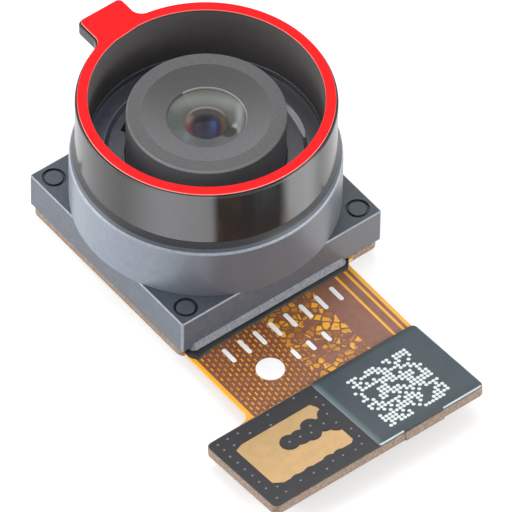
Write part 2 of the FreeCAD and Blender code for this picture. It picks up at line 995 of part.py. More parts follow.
def make_cover_discs(name, height, up):
    """Round mask covers over the plated holes, joined where they run together."""
    discs = []
    for number, (across, along) in enumerate(COVERS, start=1):
        disc = document.addObject("Part::Cylinder", f"{name}_{number}")
        bind(disc, "Radius", size("cover_radius"))
        bind(disc, "Height", height)
        put(disc, across, -along, up)
        discs.append(disc)
    joined = document.addObject("Part::MultiFuse", name)
    joined.Shapes = discs
    return joined


def make_pad_blank(name, thick, up):
    """The ground pad's plain outline, with its two far corners and one near corner cut off."""
    body = new_body(name)
    sketch = new_sketch(body, f"{name}_outline", "XY_Plane")
    left = size("pad_inset") - end_left
    right = -size("pad_right")
    near = -size("pad_near")
    far = size("pad_edge") - size("end_width")
    across = size("pad_corner_across")
    along = size("pad_corner_along")
    draw_outline(
        sketch,
        [
            (left, far + along),
            (left + across, far),
            (right - across / 2, far),
            (right, far + along / 2),
            (right, near - along),
            (right - along / 2, near),
            (left + across, near),
            (left, near - along / 2),
        ],
    )
    pad(body, sketch, f"{name}_sheet", thick)
    put(body, 0, 0, up)
    return body


def make_cut(label, base, tool):
    cut = document.addObject("Part::Cut", label)
    cut.Label = label
    cut.Base = base
    cut.Tool = tool
    return cut


def make_end_board():
    """End board with the ground pad in its mask opening."""
    thick = size("end_thick")
    left = -end_left
    right = end_right
    body = new_body("end_board_blank")
    outline = new_sketch(body, "end_board_outline", "XY_Plane", -thick)
    draw_outline(outline, box_corners(left, -size("end_width"), right, 0))
    pad(body, outline, "end_board_plate", thick)
    round_edges(body, "end_board_corners", size("end_corner"), is_upright)
    rest = new_sketch(body, "rest_outline", "XY_Plane", -thick)
    far = -size("end_width")
    draw_outline(
        rest, box_corners(-size("rest_left"), far - size("rest_reach"), size("rest_right"), far)
    )
    pad(body, rest, "break_off_rest", thick)

    mask = size("mask_thick")
    opening_blank = make_pad_blank("mask_opening_blank", mask * 2, -mask)
    opening_discs = make_cover_discs("opening_discs", mask * 4, -mask * 2)
    opening = make_cut("mask_opening", opening_blank, opening_discs)
    board = make_cut("connector_board", body, opening)
    put_on_end_board(board, 0, 0, 0)

    pad_blank = make_pad_blank("ground_pad_blank", size("pad_thick"), -mask)
    pad_discs = make_cover_discs("pad_discs", mask * 4, -mask * 2)
    plate = make_cut("ground_pad", pad_blank, pad_discs)
    put_on_end_board(plate, 0, 0, 0)
    return [board, plate]


def make_code_label():
    """Film label over the right half of the end board."""
    inset = size("label_inset")
    right = end_right - inset
    far = -size("end_width") + inset
    body = new_body("code_label")
    sketch = new_sketch(body, "label_outline", "XY_Plane")
    draw_outline(sketch, box_corners(-size("label_left"), far, right, -inset))
    pad(body, sketch, "label_film", size("label_thick"))
    round_edges(
        body,
        "label_corners",
        size("end_corner") - inset,
        upright_at((right, far), (right, -inset)),
    )
    put_on_end_board(body, 0, 0, 0)
    return body


def make_connector():
    """Board-to-board connector: housing with a channel round an island, contacts, hold-downs."""
    housing = new_body("connector_housing")
    half_length = size("housing_length") / 2
    half_width = size("housing_width") / 2
    outer = new_sketch(housing, "housing_outline", "XY_Plane")
    draw_outline(outer, box_corners(-half_length, -half_width, half_length, half_width))
    pad(housing, outer, "housing_block", size("housing_height"), reverse=True)
    channel = new_sketch(housing, "channel_outline", "XY_Plane", -size("housing_height"))
    channel_across = half_length - size("housing_wall")
    channel_along = half_width - size("housing_wall")
    island_across = channel_across - size("channel_width")
    island_along = channel_along - size("channel_width")
    draw_outline(channel, box_corners(-channel_across, -channel_along, channel_across, channel_along))
    draw_outline(channel, box_corners(-island_across, -island_along, island_across, island_along))
    pocket_up(housing, channel, "mating_channel", size("channel_depth"))
    middle = -size("end_width") / 2
    under = -size("end_thick")
    centre = (end_right - end_left) / 2
    put_on_end_board(housing, centre, middle, under)

    contacts = new_body("connector_contacts")
    count = size("contact_count")
    first = -(size("contact_pitch") * (count - 1) + size("contact_width")) / 2
    profile = new_sketch(contacts, "tail_profile", "YZ_Plane", first)
    thick = size("contact_thick")
    draw_outline(
        profile,
        box_corners(half_width, -thick, half_width + size("tail_length"), 0),
    )
    tail = pad(contacts, profile, "solder_tail", size("contact_width"))
    document.recompute()
    mirror_plane = next(item for item in contacts.Origin.OriginFeatures if item.Role == "XZ_Plane")
    row_axis = next(item for item in contacts.Origin.OriginFeatures if item.Role == "X_Axis")
    multiple = contacts.newObject("PartDesign::MultiTransform", "contact_rows")
    multiple.Originals = [tail]
    mirrored = contacts.newObject("PartDesign::Mirrored", "other_row")
    mirrored.MirrorPlane = (mirror_plane, [""])
    linear = contacts.newObject("PartDesign::LinearPattern", "along_row")
    linear.Direction = (row_axis, [""])
    bind(linear, "Length", size("contact_pitch") * (count - 1))
    bind(linear, "Occurrences", count)
    multiple.Transformations = [mirrored, linear]
    contacts.Tip = multiple
    put_on_end_board(contacts, centre, middle, under)

    anchors = new_body("connector_hold_downs")
    sketch = new_sketch(anchors, "anchor_outline", "XY_Plane")
    half_anchor = size("anchor_width") / 2
    end = half_length + size("anchor_length")
    draw_outline(sketch, box_corners(half_length, -half_anchor, end, half_anchor))
    draw_outline(sketch, box_corners(-end, -half_anchor, -half_length, half_anchor))
    pad(anchors, sketch, "anchor_plates", size("anchor_thick"), reverse=True)
    put_on_end_board(anchors, centre, middle, under)
    return [housing, contacts, anchors]


pieces = [
    make_stiffener(),
    make_sensor_board(),
    make_holder_glue(),
    make_lens_holder(),
    make_filter(),
    make_sensor_chip(),
    make_bond_wires(),
    *make_board_parts(),
    make_lens_barrel(),
    *make_lens_stack(),
    make_barrel_glue(),
    *make_seal(),
    make_flex_circuit(),
    make_root_sealant(),
    make_printed_marks(),
    *make_end_board(),
    make_code_label(),
    *make_connector(),
]
document.recompute()

failed = [item.Name for item in document.Objects if {"Invalid", "Error"} & set(item.State)]
if failed:
    raise RuntimeError(f"these objects did not build: {', '.join(failed)}")
for piece in pieces:
    if piece.Shape.isNull() or not piece.Shape.isValid() or not piece.Shape.Solids:
        raise RuntimeError(f"{piece.Label} has no valid solid")

os.makedirs("parts", exist_ok=True)
for piece in pieces:
    piece.Shape.exportStep(os.path.join("parts", f"{piece.Label}.step"))
    print(f"{piece.Label}: {len(piece.Shape.Solids)} solids, {piece.Shape.Volume:.4f} cubic mm")
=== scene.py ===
import logging
import math
from collections.abc import Callable
from dataclasses import dataclass
from enum import Enum

import bpy
import numpy as np
from mathutils import Matrix, Vector
from mathutils.geometry import tessellate_polygon


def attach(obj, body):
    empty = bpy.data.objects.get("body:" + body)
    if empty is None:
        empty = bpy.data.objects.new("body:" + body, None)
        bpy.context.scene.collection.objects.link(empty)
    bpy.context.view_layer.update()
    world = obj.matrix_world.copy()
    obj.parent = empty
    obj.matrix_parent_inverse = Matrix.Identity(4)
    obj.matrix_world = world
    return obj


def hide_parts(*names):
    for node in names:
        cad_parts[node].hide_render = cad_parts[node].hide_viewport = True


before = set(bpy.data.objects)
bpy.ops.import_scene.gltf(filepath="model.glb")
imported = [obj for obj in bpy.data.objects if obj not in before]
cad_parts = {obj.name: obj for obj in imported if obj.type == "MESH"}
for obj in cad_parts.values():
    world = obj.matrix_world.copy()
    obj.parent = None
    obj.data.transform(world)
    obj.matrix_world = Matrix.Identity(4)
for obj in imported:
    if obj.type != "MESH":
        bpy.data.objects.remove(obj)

# A phone's camera module, dressed for its portrait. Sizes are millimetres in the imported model's
# frame: +Z looks out of the lens, -Y runs along the flexible circuit to the end board.

Tree = bpy.types.NodeTree
Socket = bpy.types.NodeSocket
LOG = logging.getLogger("camera_module")
MM = 0.001
TURN = 2.0 * math.pi
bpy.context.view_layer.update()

# The end board's own frame: its near top edge, turned up by the tilt
BOARD_TILT = 5.4
BOARD_ORIGIN = np.array([0.0, -7.97898, 0.49363])
BOARD_TURN = np.array(Matrix.Rotation(-math.radians(BOARD_TILT), 3, "X"))


class Level(float, Enum):
    """Heights that several pieces share, in mm above the stiffener's underside.

    From the lowest up they are the flexible circuit's top, the holder's foot and its pads, the
    barrel's lower end, the turret's edge, the barrel's well and the floor round it, the ring's
    seat, the lens flange, and the tops of the barrel, the ring, the adhesive and the liner.
    """

    FLEX_TOP = 0.37
    HOLDER = 0.48
    PADS = 1.927
    BARREL = 2.08
    TURRET = 3.997
    WELL = 4.007
    FLOOR = 4.147
    SEAT = 4.427
    LENS = 5.69
    BARREL_TOP = 6.04
    RING_TOP = 6.687
    LINER = 6.727
    LINER_TOP = 6.787


@dataclass(frozen=True)
class Line:
    """A run of points in a plane, with the unit normal that leads out of the solid at each."""

    points: np.ndarray
    normals: np.ndarray

    def reversed(self) -> "Line":
        """The same run from its other end."""
        return Line(self.points[::-1], self.normals[::-1])

    def moved(self, across: float, along: float) -> "Line":
        """The same run, shifted."""
        return Line(self.points + np.array([across, along]), self.normals)


@dataclass(frozen=True)
class Surface:
    """Points, their normals and the faces between them."""

    points: np.ndarray
    normals: np.ndarray
    faces: list

    def turned(self, turn: np.ndarray, origin: np.ndarray) -> "Surface":
        """The surface in a turned and shifted frame: point = turn times point, plus origin."""
        return Surface(self.points @ turn.T + origin, self.normals @ turn.T, self.faces)


def joined(*surfaces: Surface) -> Surface:
    """Put several surfaces into one.

    Args:
        surfaces: The surfaces, in any order.

    Returns:
        One surface, each part's faces counted on from the last point of the part before it.
    """
    faces, start = [], 0
    for surface in surfaces:
        faces.extend(tuple(int(index) + start for index in face) for face in surface.faces)
        start += len(surface.points)
    return Surface(
        np.vstack([surface.points for surface in surfaces]),
        np.vstack([surface.normals for surface in surfaces]),
        faces,
    )


def rounded(
    corners: list[tuple[float, float]],
    radius: float | list[float],
    closed: bool = True,
    steps: int = 6,
) -> Line:
    """Draw a line through corners, each rounded with an arc.

    The arc at a corner starts radius times tan(turn / 2) before it. Its centre lies square to the
    first direction at the radius, and its points run round the centre from the one direction to
    the other. The normal is the direction of travel turned a quarter to the right, which leads
    out of an outline that runs counter-clockwise.

    Args:
        corners: The corner points in order.
        radius: The arcs' radius, or one for each corner.
        closed: Whether the line runs back to its start. An open line's ends stay sharp.
        steps: Straight pieces in each arc.

    Returns:
        The line with its normals.
    """
    points = np.asarray(corners, float)
    after = np.roll(points, -1, axis=0) - points
    before = np.roll(after, 1, axis=0)
    if not closed:
        before[0], after[-1] = after[0], before[-1]
    heading = np.arctan2(before[:, 1], before[:, 0])
    turn = (np.arctan2(after[:, 1], after[:, 0]) - heading + math.pi) % TURN - math.pi
    radii = np.broadcast_to(np.asarray(radius, float), turn.shape)
    side = np.where(turn < 0, -1.0, 1.0)
    first = before / np.linalg.norm(before, axis=1, keepdims=True)
    start = points - first * (radii * np.tan(np.abs(turn) / 2))[:, None]
    outward = np.stack([first[:, 1], -first[:, 0]], axis=1)
    centre = start - outward * (side * radii)[:, None]
    share = np.linspace(0.0, 1.0, steps + 1)
    angle = heading[:, None] + turn[:, None] * share[None, :]
    normals = np.stack([np.sin(angle), -np.cos(angle)], axis=2)
    run = centre[:, None, :] + normals * (side * radii)[:, None, None]
    if not closed:
        inner = run[1:-1].reshape(-1, 2)
        inner_normals = normals[1:-1].reshape(-1, 2)
        ends = normals[[0, -1], 0]
        return Line(
            np.vstack([points[:1], inner, points[-1:]]),
            np.vstack([ends[:1], inner_normals, ends[1:]]),
        )
    return Line(run.reshape(-1, 2), normals.reshape(-1, 2))


def ray(angle: np.ndarray) -> np.ndarray:
    """Unit vectors at angles: (cos a, sin a)."""
    return np.stack([np.cos(angle), np.sin(angle)], axis=1)


def circle(radius: float, count: int = 256) -> Line:
    """A circle about the origin: (radius cos a, radius sin a), with its normals outwards."""
    normals = ray(np.linspace(0.0, TURN, count, endpoint=False))
    return Line(normals * radius, normals)


def rectangle(left: float, right: float, low: float, high: float) -> list[tuple[float, float]]:
    """The corners of a rectangle, counter-clockwise from its low left one."""
    return [(left, low), (right, low), (right, high), (left, high)]


def wall(low: float, high: float, radius: float, steps: int = 5) -> Line:
    """Draw the side of a sheet or slab, with both edges rounded.

    The line starts and ends just past the arcs, 1.05 times the radius in from the side.

    Args:
        low: Height of the underside.
        high: Height of the top.
        radius: The edges' radius.
        steps: Straight pieces in each edge.

    Returns:
        The side, from its underside up to its top.
    """
    corners = [(-1.05 * radius, low), (0, low), (0, high), (-1.05 * radius, high)]
    return rounded(corners, [0, radius, radius, 0], False, steps)


def carried(path: Line, profile: Line) -> tuple[np.ndarray, np.ndarray]:
    """Carry a profile along a path.

    The point at (i, j) is the path's point i, moved along the path's normal by the profile's
    first number at j and up by its second. Its normal mixes the two normals in the same way.

    Args:
        path: The plan line, counter-clockwise.
        profile: Offsets from the path, and heights.

    Returns:
        The grid of points and the grid of normals, each (path, profile, 3).
    """
    flat = path.points[:, None, :] + path.normals[:, None, :] * profile.points[None, :, :1]
    height = np.broadcast_to(profile.points[None, :, 1:], flat.shape[:2] + (1,))
    lean = path.normals[:, None, :] * profile.normals[None, :, :1]
    rise = np.broadcast_to(profile.normals[None, :, 1:], flat.shape[:2] + (1,))
    return np.concatenate([flat, height], axis=2), np.concatenate([lean, rise], axis=2)


def grid_faces(rows: int, columns: int, round_rows: bool, round_columns: bool) -> np.ndarray:
    """Number the four-sided faces of a grid.

    Face (i, j) joins the points (i, j), (i + 1, j), (i + 1, j + 1) and (i, j + 1), and the point
    (i, j) has the number i times columns plus j.

    Args:
        rows: Points in the first direction.
        columns: Points in the second direction.
        round_rows: Whether the last row joins the first.
        round_columns: Whether the last column joins the first.

    Returns:
        The faces, four point numbers each.
    """
    i = np.arange(rows if round_rows else rows - 1)[:, None]
    j = np.arange(columns if round_columns else columns - 1)[None, :]
    i_next, j_next = (i + 1) % rows, (j + 1) % columns
    corners = [i * columns + j, i_next * columns + j, i_next * columns + j_next, i * columns + j_next]
    return np.stack(np.broadcast_arrays(*corners), axis=2).reshape(-1, 4)


def grid_surface(points: np.ndarray, normals: np.ndarray, round_columns: bool = False) -> Surface:
    """The surface of a grid whose rows run round and join."""
    faces = grid_faces(points.shape[0], points.shape[1], True, round_columns)
    return Surface(points.reshape(-1, 3), normals.reshape(-1, 3), faces.tolist())


def lathe(profile: Line, closed: bool = True, count: int = 256) -> Surface:
    """Turn a profile of radii and heights about the lens axis.

    The point at (a, j) is (radius of j times cos a, radius of j times sin a, height of j).

    Args:
        profile: Radii and heights. An open one starts and ends on the axis.
        closed: Whether the profile runs back to its start.
        count: Points round the axis.

    Returns:
        The turned surface. Each end on the axis is one point with a fan of triangles.
    """
    axis = Line(np.zeros((count, 2)), circle(1.0, count).normals)
    if closed:
        return grid_surface(*carried(axis, profile), round_columns=True)
    inner = Line(profile.points[1:-1], profile.normals[1:-1])
    body = grid_surface(*carried(axis, inner))
    rows = np.arange(count) * len(inner.points)
    first, last = len(body.points), len(body.points) + 1
    start_fan = np.stack([np.full(count, first), np.roll(rows, -1), rows], axis=1)
    last_row = rows + len(inner.points) - 1
    end_fan = np.stack([np.full(count, last), last_row, np.roll(last_row, -1)], axis=1)
    poles = np.array([(0, 0, profile.points[0, 1]), (0, 0, profile.points[-1, 1])])
    tips = np.array([(0, 0, -1.0), (0, 0, 1.0)])
    return Surface(
        np.vstack([body.points, poles]),
        np.vstack([body.normals, tips]),
        body.faces + start_fan.tolist() + end_fan.tolist(),
    )


def slab(path: Line, profile: Line) -> Surface:
    """Make a sheet or slab: the profile carried along its outline, closed flat at both ends.

    Args:
        path: The outline, counter-clockwise.
        profile: The side, from its underside up to its top.

    Returns:
        The closed slab.
    """
    side = grid_surface(*carried(path, profile))
    rows = np.arange(len(path.points)) * len(profile.points)
    top = rows + len(profile.points) - 1
    return Surface(side.points, side.normals, side.faces + [tuple(rows[::-1]), tuple(top)])


def ring_sheet(outer: Line, inner: Line, low: float, high: float, radius: float) -> Surface:
    """A sheet between two lines that have as many points as each other.

    The sheet's wall is carried up the outer line and down the inner one, and the rows of points
    join across the top and the base.

    Args:
        outer: The outer line, counter-clockwise, normals outwards.
        inner: The inner line, counter-clockwise, normals towards the hole.
        low: Height of the base.
        high: Height of the top.
        radius: Rounding of the edges.

    Returns:
        The closed sheet.
    """
    side = wall(low, high, radius)
    up, up_normals = carried(outer, side)
    down, down_normals = carried(inner, side.reversed())
    return grid_surface(
        np.concatenate([up, down], axis=1), np.concatenate([up_normals, down_normals], axis=1), True
    )


def holed_top(outline: np.ndarray, holes: list[np.ndarray], height: float) -> Surface:
    """Make a flat face with holes left open, cut into triangles that look up.

    Args:
        outline: The outer points, counter-clockwise.
        holes: The points of each hole, clockwise.
        height: The face's height.

    Returns:
        The face.
    """
    loops = [outline] + holes
    flat = np.vstack(loops)
    triangles = tessellate_polygon([[Vector((x, y, 0)) for x, y in loop] for loop in loops])
    faces = []
    for a, b, c in triangles:
        turn = np.cross(flat[b] - flat[a], flat[c] - flat[a])
        faces.append((a, b, c) if turn > 0 else (a, c, b))
    points = np.column_stack([flat, np.full(len(flat), height)])
    return Surface(points, np.tile([0.0, 0.0, 1.0], (len(flat), 1)), faces)


def linear(colour: str) -> tuple[float, float, float, float]:
    """Turn an sRGB hex value into linear light, by sRGB's own curve.

    Args:
        colour: A value such as #a0b1c2.

    Returns:
        Linear red, green and blue, and an opaque alpha.
    """
    parts = [int(colour[i : i + 2], 16) / 255 for i in (1, 3, 5)]
    flat = [c / 12.92 if c <= 0.04045 else ((c + 0.055) / 1.055) ** 2.4 for c in parts]
    return (*flat, 1.0)


def per_mm(size: float) -> float:
    """The texture scale on Object coordinates at which a feature is this many mm across."""
    return 1.0 / (size * MM)


def add(
    tree: Tree, kind: str, settings: dict[str, object] | None = None, **inputs: object
) -> bpy.types.Node:
    """Add a node with its settings and links.

    Args:
        tree: The node tree.
        kind: The node's type name after ShaderNode.
        settings: The node's own properties.
        inputs: Sockets by name, with spaces written as underscores, or by number after an i. A
            socket given here is linked, and any other value is set.

    Returns:
        The new node.
    """
    made = tree.nodes.new(f"ShaderNode{kind}")
    for name, value in (settings or {}).items():
        setattr(made, name, value)
    for name, value in inputs.items():
        key = int(name[1:]) if name[0] == "i" and name[1:].isdigit() else name.replace("_", " ")
        if isinstance(value, Socket):
            tree.links.new(value, made.inputs[key])
        else:
            made.inputs[key].default_value = value
    return made


@dataclass(frozen=True)
class Spots:
    """The places of a piece's faces, by which a finish is given to some of them.

    A face counts as being on a height or a circle when its centre is within a slack of it.
    """

    centres: np.ndarray

    @property
    def away(self) -> np.ndarray:
        """The distances from the lens axis in mm."""
        return np.hypot(self.centres[:, 0], self.centres[:, 1])

    @property
    def up(self) -> np.ndarray:
        """The heights in mm."""
        return self.centres[:, 2]

    def in_board(self) -> np.ndarray:
        """The places in the end board's own frame."""
        return (self.centres - BOARD_ORIGIN) @ BOARD_TURN


@dataclass(frozen=True)
class Finish:
    """A plain dielectric surface with a fine mottle in its colour and a grain in its relief.

    The colour wanders between two tones in clouds of mottle mm, at most a share of the way to
    the second one. The relief is a noise of grain mm that stands relief mm high.
    """

    name: str
    colour: str
    second: str
    roughness: float = 0.5
    grain: float = 0.05
    relief: float = 0.0004
    mottle: float = 0.6
    share: float = 0.5
    ior: float = 1.5
    metallic: float = 0.0
    coat: float = 0.0
    coat_roughness: float = 0.05

    def shade(self, tree: Tree, place: Socket) -> Socket:
        """The surface's colour: two tones mixed by a soft noise of mottle mm.

        Args:
            tree: The material's node tree.
            place: The place on the part, in metres.

        Returns:
            The base colour.
        """
        cloud = add(tree, "TexNoise", Vector=place, Scale=per_mm(self.mottle), Detail=4.0)
        spread = add(
            tree, "MapRange", Value=cloud.outputs[0], From_Min=0.35, From_Max=0.65, To_Max=self.share
        ).outputs[0]
        first, second = linear(self.colour), linear(self.second)
        return add(tree, "Mix", {"data_type": "RGBA"}, i0=spread, i6=first, i7=second).outputs[2]

    def bump(self, tree: Tree, place: Socket) -> Socket:
        """The surface's relief: a noise of grain mm, relief mm deep.

        Args:
            tree: The material's node tree.
            place: The place on the part, in metres.

        Returns:
            The bent normal.
        """
        grain = add(tree, "TexNoise", Vector=place, Scale=per_mm(self.grain), Detail=3.0)
        made = add(tree, "Bump", Strength=0.6, Distance=self.relief * MM, Height=grain.outputs[0])
        return made.outputs[0]

    def build(self) -> bpy.types.Material:
        """Make the Blender material.

        Returns:
            A new material with the finish's nodes.
        """
        material = bpy.data.materials.new(self.name)
        material.use_nodes = True
        tree = material.node_tree
        shader = tree.nodes["Principled BSDF"]
        place = add(tree, "TexCoord").outputs["Object"]
        for name, value in (
            ("Roughness", self.roughness),
            ("Metallic", self.metallic),
            ("IOR", self.ior),
            ("Coat Weight", self.coat),
            ("Coat Roughness", self.coat_roughness),
        ):
            shader.inputs[name].default_value = value
        tree.links.new(self.shade(tree, place), shader.inputs["Base Color"])
        tree.links.new(self.bump(tree, place), shader.inputs["Normal"])
        material.diffuse_color = linear(self.colour)
        return material


class Workshop:
    """Makes pieces: puts a surface into an object and gives it its finish and its place."""

    def __init__(self) -> None:
        """Start with no materials made."""
        self.made: dict[str, bpy.types.Material] = {}

    def material(self, finish: Finish) -> bpy.types.Material:
        """The finish's material, made once."""
        if finish.name not in self.made:
            self.made[finish.name] = finish.build()
        return self.made[finish.name]

    def piece(
        self,
        name: str,
        surface: Surface,
        finish: Finish,
        slot: str,
        *nodes: str,
        others: tuple[tuple[Finish, Callable[[Spots], np.ndarray]], ...] = (),
    ) -> bpy.types.Object:
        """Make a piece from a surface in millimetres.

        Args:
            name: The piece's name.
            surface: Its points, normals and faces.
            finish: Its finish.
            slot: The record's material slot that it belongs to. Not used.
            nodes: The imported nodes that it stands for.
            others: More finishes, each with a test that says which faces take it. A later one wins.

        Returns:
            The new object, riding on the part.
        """
        mesh = bpy.data.meshes.new(name)
        mesh.from_pydata((surface.points * MM).tolist(), [], surface.faces)
        mesh.shade_smooth()
        mesh.normals_split_custom_set_from_vertices(surface.normals.tolist())
        mesh.materials.append(self.material(finish))
        centres = np.empty(len(mesh.polygons) * 3)
        mesh.polygons.foreach_get("center", centres)
        spots = Spots(centres.reshape(-1, 3) / MM)
        index = np.zeros(len(mesh.polygons), np.int32)
        for number, (other, where) in enumerate(others, start=1):
            mesh.materials.append(self.material(other))
            index[where(spots)] = number
        mesh.polygons.foreach_set("material_index", index)
        made = bpy.data.objects.new(name, mesh)
        bpy.context.scene.collection.objects.link(made)
        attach(made, "root")
        if nodes:
            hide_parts(*nodes)
        LOG.info("%s: %d points, stands for %s", name, len(mesh.vertices), ", ".join(nodes) or "nothing")
        return made

    def dress(self, node: str, finish: Finish) -> None:
        """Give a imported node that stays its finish.

        Args:
            node: The node's name.
            finish: Its finish.
        """
        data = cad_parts[node].data
        data.materials.clear()
        data.materials.append(self.material(finish))
        LOG.info("%s: kept, %s", node, finish.name)


@dataclass(frozen=True)
class CoverlayFinish(Finish):
    """Amber coverlay over etched copper: brown where there is copper, amber where there is none.

    Across the circuit run an amber left edge, rows of short gaps, a patch of netted copper, a
    plain field, two thin lines and an amber right edge. Places and sizes are in mm. The real
    gaps are finer, and they are drawn as coarse as they need to show.
    """

    amber: str = "#ffb41e"
    deep: str = "#7d4114"
    left_edge: float = -4.02
    right_edge: float = 2.6
    lines: tuple = (2.04, 2.43)
    line_half: float = 0.05
    rows: tuple = (-4.0, -0.75)
    net: tuple = (-1.15, 1.0)
    waves: float = 1.7
    swirls: float = 2.1
    gap_pitch: float = 0.18
    gap_length: float = 0.27
    gap_apart: float = 0.07
    net_cell: float = 0.23
    net_line: tuple = (0.07, 0.14)
    net_bend: float = 0.12
    deepest: float = 0.62

    def shade(self, tree: Tree, place: Socket) -> Socket:
        """Copper's brown, and amber wherever one of the gaps in the copper lies.

        Args:
            tree: The material's node tree.
            place: The place on the part, in metres.

        Returns:
            The base colour.
        """
        in_mm = add(tree, "VectorMath", {"operation": "SCALE"}, i0=place, Scale=1.0 / MM).outputs[0]
        split = add(tree, "SeparateXYZ", i0=in_mm)
        across, along = split.outputs[0], split.outputs[1]
        wave = add(tree, "TexNoise", Vector=in_mm, Scale=self.waves, Detail=2.0).outputs[0]
        patch = add(tree, "MapRange", Value=wave, From_Min=0.38, From_Max=0.44).outputs[0]
        thin = add(
            tree, "MapRange", Value=wave, From_Min=0.4, From_Max=0.5, To_Min=0.6, To_Max=1.0
        ).outputs[0]
        in_net = self.between(tree, across, self.net, patch)
        in_rows = self.between(tree, across, self.rows, thin)
        near_gaps = add(tree, "Math", {"operation": "MAXIMUM"}, i0=in_net, i1=in_rows).outputs[0]
        ground = add(tree, "Math", {"operation": "MULTIPLY"}, i0=near_gaps, i1=self.deepest).outputs[0]
        gap = add(
            tree, "Math", {"operation": "MULTIPLY"}, i0=self.bricks(tree, across, along), i1=thin
        ).outputs[0]
        gap = self.between(tree, across, self.rows, gap)
        apart = add(tree, "Math", {"operation": "SUBTRACT"}, i0=1.0, i1=in_net).outputs[0]
        amber = add(tree, "Math", {"operation": "MULTIPLY"}, i0=gap, i1=apart).outputs[0]
        cells = self.cells(tree, in_mm)
        masks = [
            add(tree, "Math", {"operation": "MULTIPLY"}, i0=cells, i1=in_net),
            add(tree, "Math", {"operation": "LESS_THAN"}, i0=across, i1=self.left_edge),
            add(tree, "Math", {"operation": "GREATER_THAN"}, i0=across, i1=self.right_edge),
        ]
        for line in self.lines:
            masks.append(add(tree, "Math", {"operation": "COMPARE"}, i0=across, i1=line, i2=self.line_half))
        for mask in masks:
            amber = add(tree, "Math", {"operation": "MAXIMUM"}, i0=amber, i1=mask.outputs[0]).outputs[0]
        copper = super().shade(tree, place)
        deep = add(tree, "Mix", {"data_type": "RGBA"}, i0=ground, i6=copper, i7=linear(self.deep)).outputs[2]
        return add(tree, "Mix", {"data_type": "RGBA"}, i0=amber, i6=deep, i7=linear(self.amber)).outputs[2]

    def bricks(self, tree: Tree, across: Socket, along: Socket) -> Socket:
        """The rows of short gaps: bricks a gap long and a pitch high, with copper as the mortar.

        Args:
            tree: The material's node tree.
            across: The place across the circuit, in mm.
            along: The place along it.

        Returns:
            How open the copper is, from 0 to 1.
        """
        turned = add(tree, "CombineXYZ", i0=along, i1=across).outputs[0]
        return add(
            tree,
            "TexBrick",
            Vector=turned,
            Color1=(1, 1, 1, 1),
            Color2=(0.7, 0.7, 0.7, 1),
            Mortar=(0, 0, 0, 1),
            Scale=1.0,
            Mortar_Size=self.gap_apart,
            Mortar_Smooth=0.2,
            Bias=-0.2,
            Brick_Width=self.gap_length,
            Row_Height=self.gap_pitch,
        ).outputs[0]

    def cells(self, tree: Tree, in_mm: Socket) -> Socket:
        """The netted copper: uneven cells with a line of copper between them, some brighter.

        Args:
            tree: The material's node tree.
            in_mm: The place in mm.

        Returns:
            How open the copper is, from 0 to 1.
        """
        swirl = add(tree, "TexNoise", Vector=in_mm, Scale=self.swirls, Detail=1.0).outputs[1]
        bend = self.net_bend
        bent = add(tree, "Mix", {"data_type": "VECTOR"}, i0=bend, i4=in_mm, i5=swirl).outputs[1]
        scale = 1.0 / self.net_cell
        edge = add(tree, "TexVoronoi", {"feature": "DISTANCE_TO_EDGE"}, Vector=bent, Scale=scale).outputs[0]
        low, high = self.net_line
        cell = add(tree, "MapRange", Value=edge, From_Min=low, From_Max=high).outputs[0]
        own = add(tree, "TexVoronoi", Vector=bent, Scale=scale).outputs[1]
        bright = add(tree, "SeparateXYZ", i0=own).outputs[0]
        lit = add(
            tree, "MapRange", Value=bright, From_Min=0.15, From_Max=0.75, To_Min=0.12, To_Max=1.0
        ).outputs[0]
        return add(tree, "Math", {"operation": "MULTIPLY"}, i0=cell, i1=lit).outputs[0]

    @staticmethod
    def between(tree: Tree, across: Socket, span: tuple, mask: Socket) -> Socket:
        """Keep a mask within a span across the circuit.

        Args:
            tree: The material's node tree.
            across: The place across, in mm.
            span: The span's two ends.
            mask: The mask.

        Returns:
            The mask within the span, and nothing elsewhere.
        """
        middle, half = (span[0] + span[1]) / 2, (span[1] - span[0]) / 2
        inside = add(tree, "Math", {"operation": "COMPARE"}, i0=across, i1=middle, i2=half).outputs[0]
        return add(tree, "Math", {"operation": "MULTIPLY"}, i0=inside, i1=mask).outputs[0]


